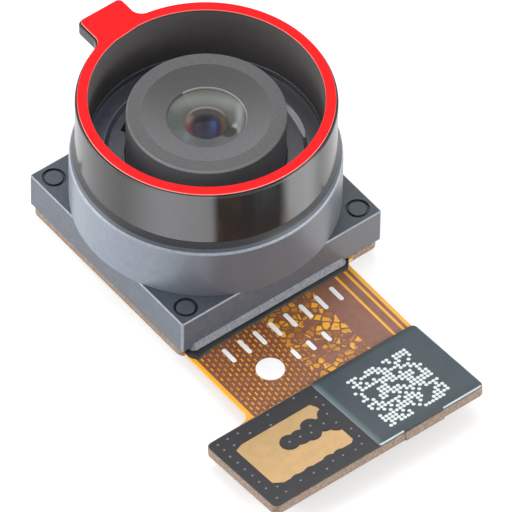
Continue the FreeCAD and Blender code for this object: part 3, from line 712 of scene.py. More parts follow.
@dataclass(frozen=True)
class LabelFinish(Finish):
    """Printed label stock with a square field of small white dots, strewn by chance.

    The field lies in the end board's own frame. Each cell of the field has one number at random,
    and the cells above a limit carry a dot. Bands of painted light are laid along an axis, each
    between two places in mm, with its colour and its most: a painted highlight along the left
    edge, and painted shade along the near and far edges.
    """

    ink: str = "#e9f0f0"
    pitch: float = 0.15
    dot: float = 0.45
    low: tuple = (-0.9, -3.45)
    cells: int = 18
    limit: float = 0.4
    painted_light_bands: tuple = (
        (0, -1.45, -1.62, "#8ea2a6", 0.35),
        (1, -0.3, -0.14, "#222c33", 0.75),
        (1, -3.5, -3.8, "#222c33", 0.35),
    )

    def shade(self, tree: Tree, place: Socket) -> Socket:
        """The film's colour with the dots on it.

        Args:
            tree: The material's node tree.
            place: The place on the part, in metres.

        Returns:
            The base colour.
        """
        origin = BOARD_TURN.T @ BOARD_ORIGIN
        tilt = (math.radians(BOARD_TILT), 0.0, 0.0)
        flat = add(tree, "Mapping", Vector=place, Location=tuple(-origin * MM), Rotation=tilt).outputs[0]
        scale = per_mm(self.pitch)
        in_cells = add(tree, "VectorMath", {"operation": "SCALE"}, i0=flat, Scale=scale).outputs[0]
        shift = (-self.low[0] / self.pitch, -self.low[1] / self.pitch, 0.0)
        field = add(tree, "VectorMath", i0=in_cells, i1=shift).outputs[0]
        level = add(tree, "VectorMath", {"operation": "MULTIPLY"}, i0=field, i1=(1.0, 1.0, 0.0)).outputs[0]
        number = add(tree, "VectorMath", {"operation": "FLOOR"}, i0=level).outputs[0]
        within = add(tree, "VectorMath", {"operation": "FRACTION"}, i0=level).outputs[0]
        away = add(tree, "VectorMath", {"operation": "DISTANCE"}, i0=within, i1=(0.5, 0.5, 0.0)).outputs[1]
        full, empty = self.dot - 0.05, self.dot + 0.05
        mask = add(
            tree, "MapRange", Value=away, From_Min=full, From_Max=empty, To_Min=1.0, To_Max=0.0
        ).outputs[0]
        chance = add(tree, "TexWhiteNoise", {"noise_dimensions": "2D"}, Vector=number).outputs[0]
        masks = [add(tree, "Math", {"operation": "GREATER_THAN"}, i0=chance, i1=self.limit)]
        split = add(tree, "SeparateXYZ", i0=level)
        half = self.cells / 2
        for place_in_cells in split.outputs[:2]:
            masks.append(add(tree, "Math", {"operation": "COMPARE"}, i0=place_in_cells, i1=half, i2=half))
        for other in masks:
            mask = add(tree, "Math", {"operation": "MULTIPLY"}, i0=mask, i1=other.outputs[0]).outputs[0]
        film = super().shade(tree, place)
        side = add(tree, "SeparateXYZ", i0=flat)
        for axis, low, high, colour, most in self.painted_light_bands:
            share = add(
                tree, "MapRange", Value=side.outputs[axis], From_Min=low * MM, From_Max=high * MM, To_Max=most
            ).outputs[0]
            film = add(tree, "Mix", {"data_type": "RGBA"}, i0=share, i6=film, i7=linear(colour)).outputs[2]
        return add(tree, "Mix", {"data_type": "RGBA"}, i0=mask, i6=film, i7=linear(self.ink)).outputs[2]


@dataclass(frozen=True)
class FrontLensReflectionsFinish(Finish):
    """A coated front lens over its dark stop, coloured by soft round patches of painted reflection
    and highlight, and by the painted view of the dark stop through its dome.

    The patches lie in the plan, turned so that the first number runs to the right and the second
    away from the circuit's left corner. Each has its colour, centre, half widths and softness.
    """

    turn: float = 38.5
    clear: float = 0.76
    dome: str = "#5c5754"
    flange_near: str = "#66686a"
    flange_far: str = "#646661"
    on_flange: tuple = (
        ("#90938f", (0.1, 0.66), (1.1, 0.4), 0.5),
        ("#5d5e5a", (0.0, 0.2), (0.98, 0.72), 0.25),
        ("#979e9b", (1.12, 0.3), (0.1, 0.5), 0.9),
        ("#9fa7a4", (0.98, -0.2), (0.09, 0.14), 0.6),
        ("#8a918e", (1.1, -0.4), (0.06, 0.16), 0.6),
        ("#59645d", (-1.07, -0.22), (0.23, 0.27), 0.15),
        ("#6c7880", (-0.66, -0.75), (0.11, 0.25), 0.7),
        ("#3d3d3b", (0.8, -0.46), (0.24, 0.26), 0.2),
        ("#3a3a38", (0.62, -0.24), (0.22, 0.32), 0.4),
    )
    on_dome: tuple = (
        ("#9d9793", (0.0, 0.4), (0.7, 0.36), 0.12),
        ("#4e4944", (0.0, -0.12), (0.8, 0.74), 0.12),
        ("#85716a", (-0.6, 0.04), (0.12, 0.26), 0.7),
        ("#6b4247", (-0.52, -0.42), (0.16, 0.36), 0.7),
        ("#66503f", (0.56, -0.1), (0.08, 0.32), 0.8),
        ("#2b2936", (0.0, -0.26), (0.5, 0.54), 0.2),
        ("#3b4c80", (0.26, -0.22), (0.09, 0.2), 1.0),
        ("#302f55", (0.14, -0.44), (0.14, 0.2), 0.9),
        ("#1c1923", (-0.06, -0.24), (0.13, 0.26), 0.7),
    )

    def shade(self, tree: Tree, place: Socket) -> Socket:
        """The flange's patches, and within the clear radius the dome's.

        Args:
            tree: The material's node tree.
            place: The place on the part, in metres.

        Returns:
            The base colour.
        """
        in_mm = add(tree, "VectorMath", {"operation": "SCALE"}, i0=place, Scale=1.0 / MM).outputs[0]
        flat = add(tree, "VectorMath", {"operation": "MULTIPLY"}, i0=in_mm, i1=(1.0, 1.0, 0.0)).outputs[0]
        level = add(tree, "Mapping", Vector=flat, Rotation=(0.0, 0.0, math.radians(self.turn))).outputs[0]
        away = add(tree, "VectorMath", {"operation": "LENGTH"}, i0=level).outputs[1]
        up = add(tree, "SeparateXYZ", i0=level).outputs[1]
        far = add(tree, "MapRange", Value=up, From_Min=-1.0, From_Max=1.0).outputs[0]
        ends = {"i6": linear(self.flange_near), "i7": linear(self.flange_far)}
        flange = add(tree, "Mix", {"data_type": "RGBA"}, i0=far, **ends).outputs[2]
        for patch in self.on_flange:
            flange = self.patched(tree, level, flange, *patch)
        dome = linear(self.dome)
        for patch in self.on_dome:
            dome = self.patched(tree, level, dome, *patch)
        inner, outer = self.clear - 0.03, self.clear + 0.01
        share = add(tree, "MapRange", Value=away, From_Min=inner, From_Max=outer).outputs[0]
        return add(tree, "Mix", {"data_type": "RGBA"}, i0=share, i6=dome, i7=flange).outputs[2]

    @staticmethod
    def patched(
        tree: Tree,
        level: Socket,
        ground: Socket | tuple,
        colour: str,
        centre: tuple[float, float],
        half: tuple[float, float],
        soft: float,
    ) -> Socket:
        """Lay one patch over the ground: an ellipse that fades at its edge.

        Args:
            tree: The material's node tree.
            level: The place in the turned plan, in mm.
            ground: The colour under the patch.
            colour: The patch's colour.
            centre: Its centre, to the right and upwards.
            half: Its half width and half height.
            soft: The share of its size over which it fades.

        Returns:
            The colour with the patch on it.
        """
        moved = add(tree, "VectorMath", {"operation": "SUBTRACT"}, i0=level, i1=(*centre, 0.0)).outputs[0]
        shrink = (1.0 / half[0], 1.0 / half[1], 0.0)
        unit = add(tree, "VectorMath", {"operation": "MULTIPLY"}, i0=moved, i1=shrink).outputs[0]
        away = add(tree, "VectorMath", {"operation": "LENGTH"}, i0=unit).outputs[1]
        share = add(
            tree, "MapRange", Value=away, From_Min=1.0 - soft, From_Max=1.0 + soft, To_Min=1.0, To_Max=0.0
        ).outputs[0]
        return add(tree, "Mix", {"data_type": "RGBA"}, i0=share, i6=ground, i7=linear(colour)).outputs[2]


@dataclass(frozen=True)
class GradedFinish(Finish):
    """A moulded plastic whose colour goes over to another tone across the part, with specks of filler.

    The tone goes over to the last one along the heading, in degrees, between the span's two ends
    in mm from the lens axis. The real specks are a few microns across, and they are drawn as
    coarse as they need to show.
    """

    last: str = "#6d6b6f"
    speck: str = "#a9b0ba"
    heading: float = 0.0
    span: tuple = (-1.5, 3.5)
    specks: float = 0.45
    speck_pitch: float = 0.16

    def shade(self, tree: Tree, place: Socket) -> Socket:
        """The mottled tones, mixed towards the last one along the heading, under the specks.

        Args:
            tree: The material's node tree.
            place: The place on the part, in metres.

        Returns:
            The base colour.
        """
        ground = super().shade(tree, place)
        turn = math.radians(self.heading)
        along = (math.cos(turn), math.sin(turn), 0.0)
        ahead = add(tree, "VectorMath", {"operation": "DOT_PRODUCT"}, i0=place, i1=along).outputs[1]
        low, high = self.span[0] * MM, self.span[1] * MM
        smooth = {"interpolation_type": "SMOOTHSTEP"}
        part = add(tree, "MapRange", smooth, Value=ahead, From_Min=low, From_Max=high).outputs[0]
        graded = add(tree, "Mix", {"data_type": "RGBA"}, i0=part, i6=ground, i7=linear(self.last)).outputs[2]
        speck = add(tree, "TexVoronoi", Vector=place, Scale=per_mm(self.speck_pitch)).outputs[0]
        share = add(
            tree, "MapRange", Value=speck, From_Min=0.05, From_Max=0.12, To_Min=self.specks, To_Max=0.0
        ).outputs[0]
        return add(tree, "Mix", {"data_type": "RGBA"}, i0=share, i6=graded, i7=linear(self.speck)).outputs[2]


@dataclass(frozen=True)
class ReflectionBandsFinish(Finish):
    """A rubber with pale upright bands of painted reflection round the lens axis.

    A band rises between its first two angles and falls between its last two, in degrees from the
    direction that faces the circuit's left corner.
    """

    pale: str = "#747577"
    facing: float = -128.5
    bands: tuple = ((-42.0, -14.0, 2.5, 6.5), (33.5, 41.0, 50.0, 62.0))

    def shade(self, tree: Tree, place: Socket) -> Socket:
        """The mottled tones, mixed towards the pale one within the bands of painted reflection.

        Args:
            tree: The material's node tree.
            place: The place on the part, in metres.

        Returns:
            The base colour.
        """
        ground = super().shade(tree, place)
        turn = (0.0, 0.0, -math.radians(self.facing))
        turned = add(tree, "Mapping", Vector=place, Rotation=turn).outputs[0]
        angle = add(tree, "TexGradient", {"gradient_type": "RADIAL"}, Vector=turned).outputs[1]
        smooth = {"interpolation_type": "SMOOTHSTEP"}
        for band in self.bands:
            start, full, last, end = [0.5 + degrees / 360.0 for degrees in band]
            rise = add(tree, "MapRange", smooth, Value=angle, From_Min=start, From_Max=full).outputs[0]
            fall = add(tree, "MapRange", smooth, Value=angle, From_Min=end, From_Max=last).outputs[0]
            share = add(tree, "Math", {"operation": "MULTIPLY"}, i0=rise, i1=fall).outputs[0]
            pale = linear(self.pale)
            ground = add(tree, "Mix", {"data_type": "RGBA"}, i0=share, i6=ground, i7=pale).outputs[2]
        return ground


# Glass-filled liquid-crystal polymer, injection-moulded: blue-grey with a silky skin in which
# fine filler shows as specks, going over to a neutral grey towards +X.
MOULDED_POLYMER = GradedFinish(
    "moulded_polymer", "#5d646f", "#676e79", roughness=0.36, grain=0.06, relief=0.0016, mottle=0.25,
    share=0.8, metallic=0.25,
)
# The same polymer on the turret's wall, with a painted highlight: pale at its left, darker to the right.
TURRET_HIGHLIGHT_POLYMER = GradedFinish(
    "turret_polymer_painted_highlight", "#8a929e", "#828a95", roughness=0.36, grain=0.06, relief=0.0016, mottle=0.25,
    share=0.8, metallic=0.25, last="#6e7179", speck="#b4bac3", heading=-38.5,
    span=(-2.0, 0.9),
)
# The same polymer on the pads and the turret's bevel, with painted shade: darker.
PADS_SHADE_POLYMER = Finish(
    "polymer_painted_shade_pads", "#484e57", "#50565f", roughness=0.45, grain=0.06, relief=0.0016, mottle=0.25,
    share=0.8, metallic=0.2,
)
# The same polymer where it mirrors the black ring or lies in a groove: near black.
SHADED_POLYMER = Finish(
    "shaded_polymer", "#17191d", "#212429", roughness=0.34, grain=0.06, relief=0.001, mottle=0.3,
)
# The same polymer on its edges, with a painted highlight: pale.
EDGE_HIGHLIGHT_POLYMER = Finish(
    "polymer_painted_edge_highlight", "#a0a7b3", "#8b929d", roughness=0.34, grain=0.06, relief=0.002, mottle=0.2,
    share=0.8,
)
# The same polymer on a crescent of the well's step, with a painted glint: nearly white.
GLINTING_POLYMER = Finish(
    "glinting_polymer", "#f2f4f6", "#dfe3e7", roughness=0.25, grain=0.08, relief=0.001, mottle=0.2,
    share=0.6,
)
# The same polymer on the lip, with painted light: pale grey, and grainy.
LIP_LIGHT_POLYMER = Finish(
    "polymer_painted_light_lip", "#70747b", "#8d9197", relief=0.004, mottle=0.1, share=0.9,
)
# Polycarbonate, moulded in a spark-eroded mould that kills stray light: matt charcoal.
MATT_POLYCARBONATE = Finish(
    "matt_polycarbonate", "#515153", "#5f5f61", roughness=0.6, grain=0.06, relief=0.003,
    mottle=0.09, share=0.9, ior=1.58,
)
# The same polycarbonate in the cone round the opening, with painted light and shade: lighter
# on its near side, and darkest at its far side.
CONE_LIGHT_AND_SHADE_POLYCARBONATE = GradedFinish(
    "polycarbonate_painted_light_and_shade_cone", "#68686a", "#717173", roughness=0.6, grain=0.06, relief=0.003,
    mottle=0.09, share=0.9, ior=1.58, last="#323233", speck="#9a9a9c",
    heading=51.5, span=(-1.8, 2.2), specks=0.35,
)
# The same polycarbonate on the sharp rim of the opening, with a painted highlight: bright.
RIM_HIGHLIGHT_POLYCARBONATE = Finish(
    "polycarbonate_painted_rim_highlight", "#b9bcbc", "#a9acac", roughness=0.35, relief=0.001, mottle=0.2, share=0.7,
    ior=1.58,
)
# The same polycarbonate on the barrel's wall, with painted light: pale.
WALL_LIGHT_POLYCARBONATE = Finish(
    "polycarbonate_painted_light_wall", "#98999c", "#8d8e91", relief=0.002, mottle=0.1, share=0.7, ior=1.58,
)
# The same polycarbonate along its outer edge, with a painted highlight.
BEVEL_HIGHLIGHT_POLYCARBONATE = Finish(
    "polycarbonate_painted_bevel_highlight", "#8f9092", "#828385", roughness=0.4, relief=0.001, mottle=0.2,
    share=0.7, ior=1.58,
)
# Silicone rubber, moulded against a polished face: black with a wet shine, and pale upright
# bands of painted reflection.
POLISHED_SILICONE_REFLECTIONS = ReflectionBandsFinish(
    "polished_silicone_painted_reflections", "#252424", "#2a2828", roughness=0.2, grain=0.4, relief=0.0008, mottle=0.8,
    ior=1.43, coat=0.12, coat_roughness=0.1,
)
# The same rubber inside the ring, moulded against a blasted core: matt, and greyer with painted light.
BLASTED_SILICONE_PAINTED_LIGHT = Finish(
    "blasted_silicone_painted_light", "#595656", "#625d5e", roughness=0.75, grain=0.06, relief=0.001, mottle=0.5,
    share=0.6, ior=1.43,
)
# Polyester film, dyed through, with a fluorinated release coat of low index: vivid red.
DYED_POLYESTER = Finish(
    "dyed_polyester", "#f9030d", "#f4020a", roughness=0.55, grain=0.3, mottle=1.5, share=0.6,
    ior=1.35,
)
# The same film at its cut edge, with a painted highlight: pale pink.
CUT_EDGE_HIGHLIGHT_POLYESTER = Finish("polyester_painted_edge_highlight", "#ff9d96", "#ff8f8a", mottle=0.2, share=0.6, ior=1.41)
# Acrylic adhesive tape with a black carrier: a thin dark line under the liner.
ACRYLIC_TAPE = Finish("acrylic_tape", "#0b0b0b", "#131313", roughness=0.45, grain=0.1, relief=0.001)
# Optical cyclo-olefin, moulded and coated: clear and bright.
OPTICAL_POLYMER = Finish(
    "optical_polymer", "#8d9691", "#a4aca7", roughness=0.08, grain=0.8, relief=0.0001, mottle=0.9,
    share=0.6, ior=1.53, coat=0.5, coat_roughness=0.02,
)
# The front lens of the same polymer under a porous antireflection coat of low index, seen over
# the stop behind it, with painted reflections and highlights.
COATED_LENS_REFLECTIONS = FrontLensReflectionsFinish(
    "coated_lens_painted_reflections", "#8d9691", "#a4aca7", roughness=0.12, grain=0.8, relief=0.0001, mottle=0.9,
    share=0.6, ior=1.24,
)
# Polyester shim, filled with carbon: flat black.
CARBON_SHIM = Finish("carbon_shim", "#101010", "#161616", roughness=0.7)
# Blue filter glass with an infrared-cut coating, polished: pale blue and mirror-smooth.
FILTER_GLASS = Finish(
    "filter_glass", "#7fb2c4", "#8ec3d2", roughness=0.03, grain=0.5, relief=0.0001, mottle=0.9,
    ior=1.52,
)
# Polished silicon die with its array of cells: violet and blue, with a hard shine.
POLISHED_SILICON = Finish(
    "polished_silicon", "#4b3d5c", "#3b4a63", roughness=0.12, grain=0.01, relief=0.0001, share=0.8,
    ior=3.0,
)
# Electroless nickel and immersion gold over copper foil: pale gold, a little grainy.
IMMERSION_GOLD = Finish(
    "immersion_gold", "#cfae80", "#c6a578", roughness=0.45, grain=0.03, relief=0.0006, mottle=0.35,
    share=0.8, metallic=1.0,
)
# Drawn gold wire: bright yellow.
GOLD_WIRE = Finish(
    "gold_wire", "#f0cf80", "#e8c270", roughness=0.25, grain=0.02, relief=0.0003, mottle=0.3,
    metallic=1.0,
)
# Fired barium titanate: brown and matt.
FIRED_CERAMIC = Finish("fired_ceramic", "#9b7b5c", "#8d6d50", roughness=0.55)
# Moulded black epoxy with ground silica: dark grey and dull.
MOULDED_EPOXY = Finish(
    "moulded_epoxy", "#1e1e1e", "#282828", roughness=0.6, grain=0.04, relief=0.0015,
)
# Glass-epoxy laminate, routed: tan with torn glass fibres.
GLASS_EPOXY = Finish(
    "glass_epoxy", "#a28d7d", "#7d6858", roughness=0.6, relief=0.008, mottle=0.1, share=0.9,
)
# Photo-imaged solder mask, levelled: black with a soft sheen.
SOLDER_MASK = Finish(
    "solder_mask", "#27272b", "#2e2e33", roughness=0.42, grain=0.09, relief=0.0012, mottle=0.5,
    share=0.7, ior=1.52,
)
# The same mask on the crowns of the filled holes, with a painted highlight: pale.
CREST_HIGHLIGHT_MASK = Finish(
    "mask_painted_crest_highlight", "#77787d", "#8b8c91", roughness=0.3, grain=0.02, mottle=0.2, share=0.7, ior=1.52,
)
# Stainless steel sheet, left as rolled: pale grey metal with a fine haze.
ROLLED_STEEL = Finish(
    "rolled_steel", "#b9bab8", "#a7a8a6", roughness=0.34, relief=0.0008, mottle=0.4, share=0.7,
    metallic=1.0,
)
# Epoxy sealant, dispensed and cured: black with a slumped, uneven skin.
CURED_EPOXY = Finish(
    "cured_epoxy", "#0c0b0b", "#171414", grain=0.12, relief=0.004, mottle=0.4, share=0.6,
)
# Screen-printed epoxy ink: white, a little open at the edges.
PRINTED_INK = Finish(
    "printed_ink", "#ffffff", "#fafafc", roughness=0.6, grain=0.04, relief=0.002, mottle=0.1,
    share=0.6,
)
# Printed polyester label stock: dark teal, with painted highlight and painted shade along its edges.
LABEL_FILM = LabelFinish(
    "label_film", "#35434a", "#3e4c52", roughness=0.34, grain=0.1, relief=0.0006, share=0.6,
    ior=1.57,
)
# The label's cut edge, with a painted highlight: pale blue.
LABEL_EDGE_HIGHLIGHT = Finish(
    "label_painted_edge_highlight", "#c9dde2", "#b4cbd1", roughness=0.2, mottle=0.3, share=0.7, ior=1.57,
)
# Glass-filled polyamide, moulded: black.
MOULDED_POLYAMIDE = Finish("moulded_polyamide", "#1b1b1d", "#222224", grain=0.03, relief=0.0008)
# Polyimide coverlay, laminated over etched copper: brown over the metal and amber beside it.
POLYIMIDE = CoverlayFinish(
    "polyimide", "#86503a", "#955d43", roughness=0.35, grain=0.1, relief=0.001, mottle=0.3,
    share=0.7, ior=1.7,
)


@dataclass
class LensHolder:
    """The moulded holder: square foot with corner pads, round turret and the lip at its front."""

    side: float = 8.58
    corner: float = 0.07
    edge: float = 0.045
    turret: float = 4.68
    bulge: float = 0.39
    seat_outer: float = 4.473
    seat_inner: float = 4.043
    well_outer: float = 3.5
    well: float = 3.34
    bore: float = 2.765
    skirt: float = 1.5
    mark_place: float = 3.7
    mark: float = 0.42
    mark_count: int = 64
    groove: float = 0.1
    groove_depth: float = 0.07
    lip_left: float = 3.99
    lip_right: float = 2.71
    lip_reach: float = 0.19
    lip_height: float = 0.21
    lip_bevel: float = 0.17
    lip_back: float = 0.4
    lip_corner: float = 0.21
    bevel_sink: float = 0.02
    step_sink: float = 0.008
    shade_from: float = 0.46
    glint_turn: float = -12.0
    glint_reach: float = 15.0

    def foot(self) -> Surface:
        """The square foot: a rounded wall, and a top with four open circles for the marks.

        Returns:
            The foot, open where the marks' grooves go in.
        """
        half = self.side / 2
        outline = rounded(rectangle(-half, half, -half, half), self.corner)
        profile = wall(Level.HOLDER, Level.PADS, self.edge)
        side = grid_surface(*carried(outline, profile))
        rows = np.arange(len(outline.points)) * len(profile.points)
        rim = outline.points + outline.normals * profile.points[-1, 0]
        ring = circle(self.mark, self.mark_count).points[::-1]
        places = [(a * self.mark_place, b * self.mark_place) for a in (-1, 1) for b in (-1, 1)]
        top = holed_top(rim, [ring + np.array(place) for place in places], Level.PADS)
        base = Surface(side.points, side.normals, side.faces + [tuple(rows[::-1])])
        return joined(base, top, *[self.mark_ring(*place) for place in places])

    def mark_ring(self, across: float, along: float) -> Surface:
        """The moulded circle in a corner pad: a groove round a flat island.

        Args:
            across: The circle's place across.
            along: Its place along.

        Returns:
            The groove and the island, which fill the foot's open circle.
        """
        inner = self.mark - self.groove
        low = Level.PADS - self.groove_depth
        high = Level.PADS
        corners = [(self.mark, high), (self.mark, low), (inner, low), (inner, high), (0, high)]
        lines = rounded(corners, [0, 0.012, 0.012, 0.02, 0], False, 4)
        count = self.mark_count
        axis = Line(np.zeros((count, 2)), circle(1.0, count).normals)
        points, normals = carried(axis, Line(lines.points[:-1], lines.normals[:-1]))
        shell = grid_surface(points, normals)
        last = np.arange(count) * points.shape[1] + points.shape[1] - 1
        faces = shell.faces + [tuple(last)]
        return Surface(shell.points + np.array([across, along, 0.0]), shell.normals, faces)

    def crown(self) -> Surface:
        """The turret: its wall and bevel, the ring's seat, the floor and the barrel's well.

        The step into the well hangs by a parabola, four times its sink times share times the rest.
        Each corner of the profile has its place across, its height and the radius of its rounding.

        Returns:
            The turret, closed down to a skirt inside the foot.
        """
        half = self.side / 2 - 0.02
        bevel = [self.on_bevel(share) for share in (0.3, 0.45, 0.6, 0.8)]
        share = np.linspace(0.0, 1.0, 7)[1:-1]
        sink = self.step_sink * 4 * share * (1 - share)
        across = self.well_outer + (self.well - self.well_outer) * share
        step = list(zip(across, Level.FLOOR + (Level.WELL - Level.FLOOR) * share - sink))
        profile = [
            (self.bore, self.skirt, 0.01),
            (half, Level.PADS - self.bulge - 0.02, 0.01),
            (self.turret, Level.PADS, 0.03),
            (self.turret, Level.TURRET, 0.09),
            *[(*corner, 2.0) for corner in bevel],
            (self.seat_outer, Level.SEAT, 0.02),
            (self.seat_inner, Level.SEAT, 0.03),
            (self.seat_inner, Level.FLOOR, 0.02),
            (self.well_outer, Level.FLOOR, 0.02),
            *[(*corner, 1.0) for corner in step],
            (self.well, Level.WELL, 0.02),
            (self.bore, Level.WELL, 0.02),
        ]
        return lathe(rounded([row[:2] for row in profile], [row[2] for row in profile]))

    def on_bevel(self, share: float) -> tuple[float, float]:
        """Find a point on the turret's bevel, which is sunk by a parabola of the share.

        Args:
            share: The share of the way up.

        Returns:
            The point's radius and height.
        """
        sink = self.bevel_sink * 4 * share * (1 - share)
        across = self.turret + (self.seat_outer - self.turret) * share - sink
        return across, Level.TURRET + (Level.SEAT - Level.TURRET) * share

    def lip(self) -> Surface:
        """The bevelled lip along the foot's front, rounded at its ends.

        Returns:
            The lip, with its back inside the foot.
        """
        half = self.side / 2
        front, back = -half - self.lip_reach, -half + self.lip_back
        outline = rounded(rectangle(-self.lip_left, self.lip_right, front, back), self.lip_corner)
        low, high = Level.HOLDER, Level.HOLDER + self.lip_height
        bevel = self.lip_bevel
        corners = [(-0.05, low), (0, low), (0, high - bevel), (-bevel, high), (-bevel - 0.02, high)]
        return slab(outline, rounded(corners, [0, 0.008, 0.01, 0.02, 0], False))

    def make(self, shop: Workshop) -> None:
        """Make the holder as one piece.

        Args:
            shop: The workshop that makes the pieces.
        """
        shop.piece(
            "lens_holder_moulding",
            joined(self.foot(), self.crown(), self.lip()),
            MOULDED_POLYMER,
            "holder_plastic",
            "lens_holder",
            # The second finishes paint highlights, a glint, light and shade onto the same polymer.
            others=(
                (TURRET_HIGHLIGHT_POLYMER, self.on_turret),
                (PADS_SHADE_POLYMER, self.on_pads_and_bevel),
                (EDGE_HIGHLIGHT_POLYMER, self.on_edges),
                (GLINTING_POLYMER, self.in_glint),
                (SHADED_POLYMER, self.in_shade),
                (LIP_LIGHT_POLYMER, self.on_lip),
            ),
        )

    def on_edges(self, spots: Spots) -> np.ndarray:
        """Pick the faces on the foot's, the turret's and the seat's edges, which take the painted highlight.

        Args:
            spots: The faces' places.

        Returns:
            True for each face that is one of them.
        """
        half = self.side / 2
        rim = (spots.away > self.turret - 0.07) & (np.abs(spots.up - Level.TURRET) < 0.06)
        reach = np.abs(spots.centres[:, :2])
        below = spots.up < Level.PADS
        top = (spots.up > Level.PADS - 0.04) & below & (reach.max(axis=1) > half - 0.04)
        corner = below & (reach.min(axis=1) > half - self.corner)
        seat = (np.abs(spots.away - self.seat_inner) < 0.03) & (spots.up > Level.SEAT - 0.03)
        inside = (np.abs(spots.away - self.well_outer) < 0.02) & (spots.up > Level.FLOOR - 0.03)
        return rim | top | corner | seat | inside

    def on_turret(self, spots: Spots) -> np.ndarray:
        """The faces of the turret's wall, which take the painted highlight."""
        return (spots.away > self.turret - 0.01) & (spots.up > Level.PADS)

    def on_pads_and_bevel(self, spots: Spots) -> np.ndarray:
        """The faces of the pads and of the turret's bevel, which take the painted shade."""
        bevel = (spots.away > self.seat_outer - 0.01) & (spots.up > Level.TURRET)
        return bevel | (np.abs(spots.up - Level.PADS) < 0.004)

    def on_lip(self, spots: Spots) -> np.ndarray:
        """The faces of the lip, which stand out before the foot and take the painted light."""
        return (spots.centres[:, 1] < -self.side / 2 - 0.004) & (spots.up < 1.0)

    def in_glint(self, spots: Spots) -> np.ndarray:
        """Pick the faces of the well's step that lie in a crescent, pointed at both ends, for the painted
        glint.

        Args:
            spots: The faces' places.

        Returns:
            True for each face that is one of them.
        """
        turn = np.degrees(np.arctan2(spots.centres[:, 1], spots.centres[:, 0]))
        middle, half = (self.well_outer + self.well) / 2, (self.well_outer - self.well) / 2
        reach = self.glint_reach * np.sqrt(np.maximum(1.0 - ((spots.away - middle) / half) ** 2, 0.0))
        return (np.abs(turn - self.glint_turn) < reach) & (spots.up < Level.FLOOR) & (spots.up > Level.WELL)

    def in_shade(self, spots: Spots) -> np.ndarray:
        """Pick the faces at the top of the turret's bevel and in the marks' grooves.

        Args:
            spots: The faces' places.

        Returns:
            True for each face that is one of them.
        """
        bevel = (spots.away > self.seat_outer - 0.02) & (spots.up > self.on_bevel(self.shade_from)[1])
        near = np.hypot(*(np.abs(spots.centres[:, :2]) - self.mark_place).T)
        groove = (near > self.mark - self.groove - 0.005) & (near < self.mark)
        return bevel | (groove & (spots.up > Level.PADS - 0.4) & (spots.up < Level.PADS - 0.004))


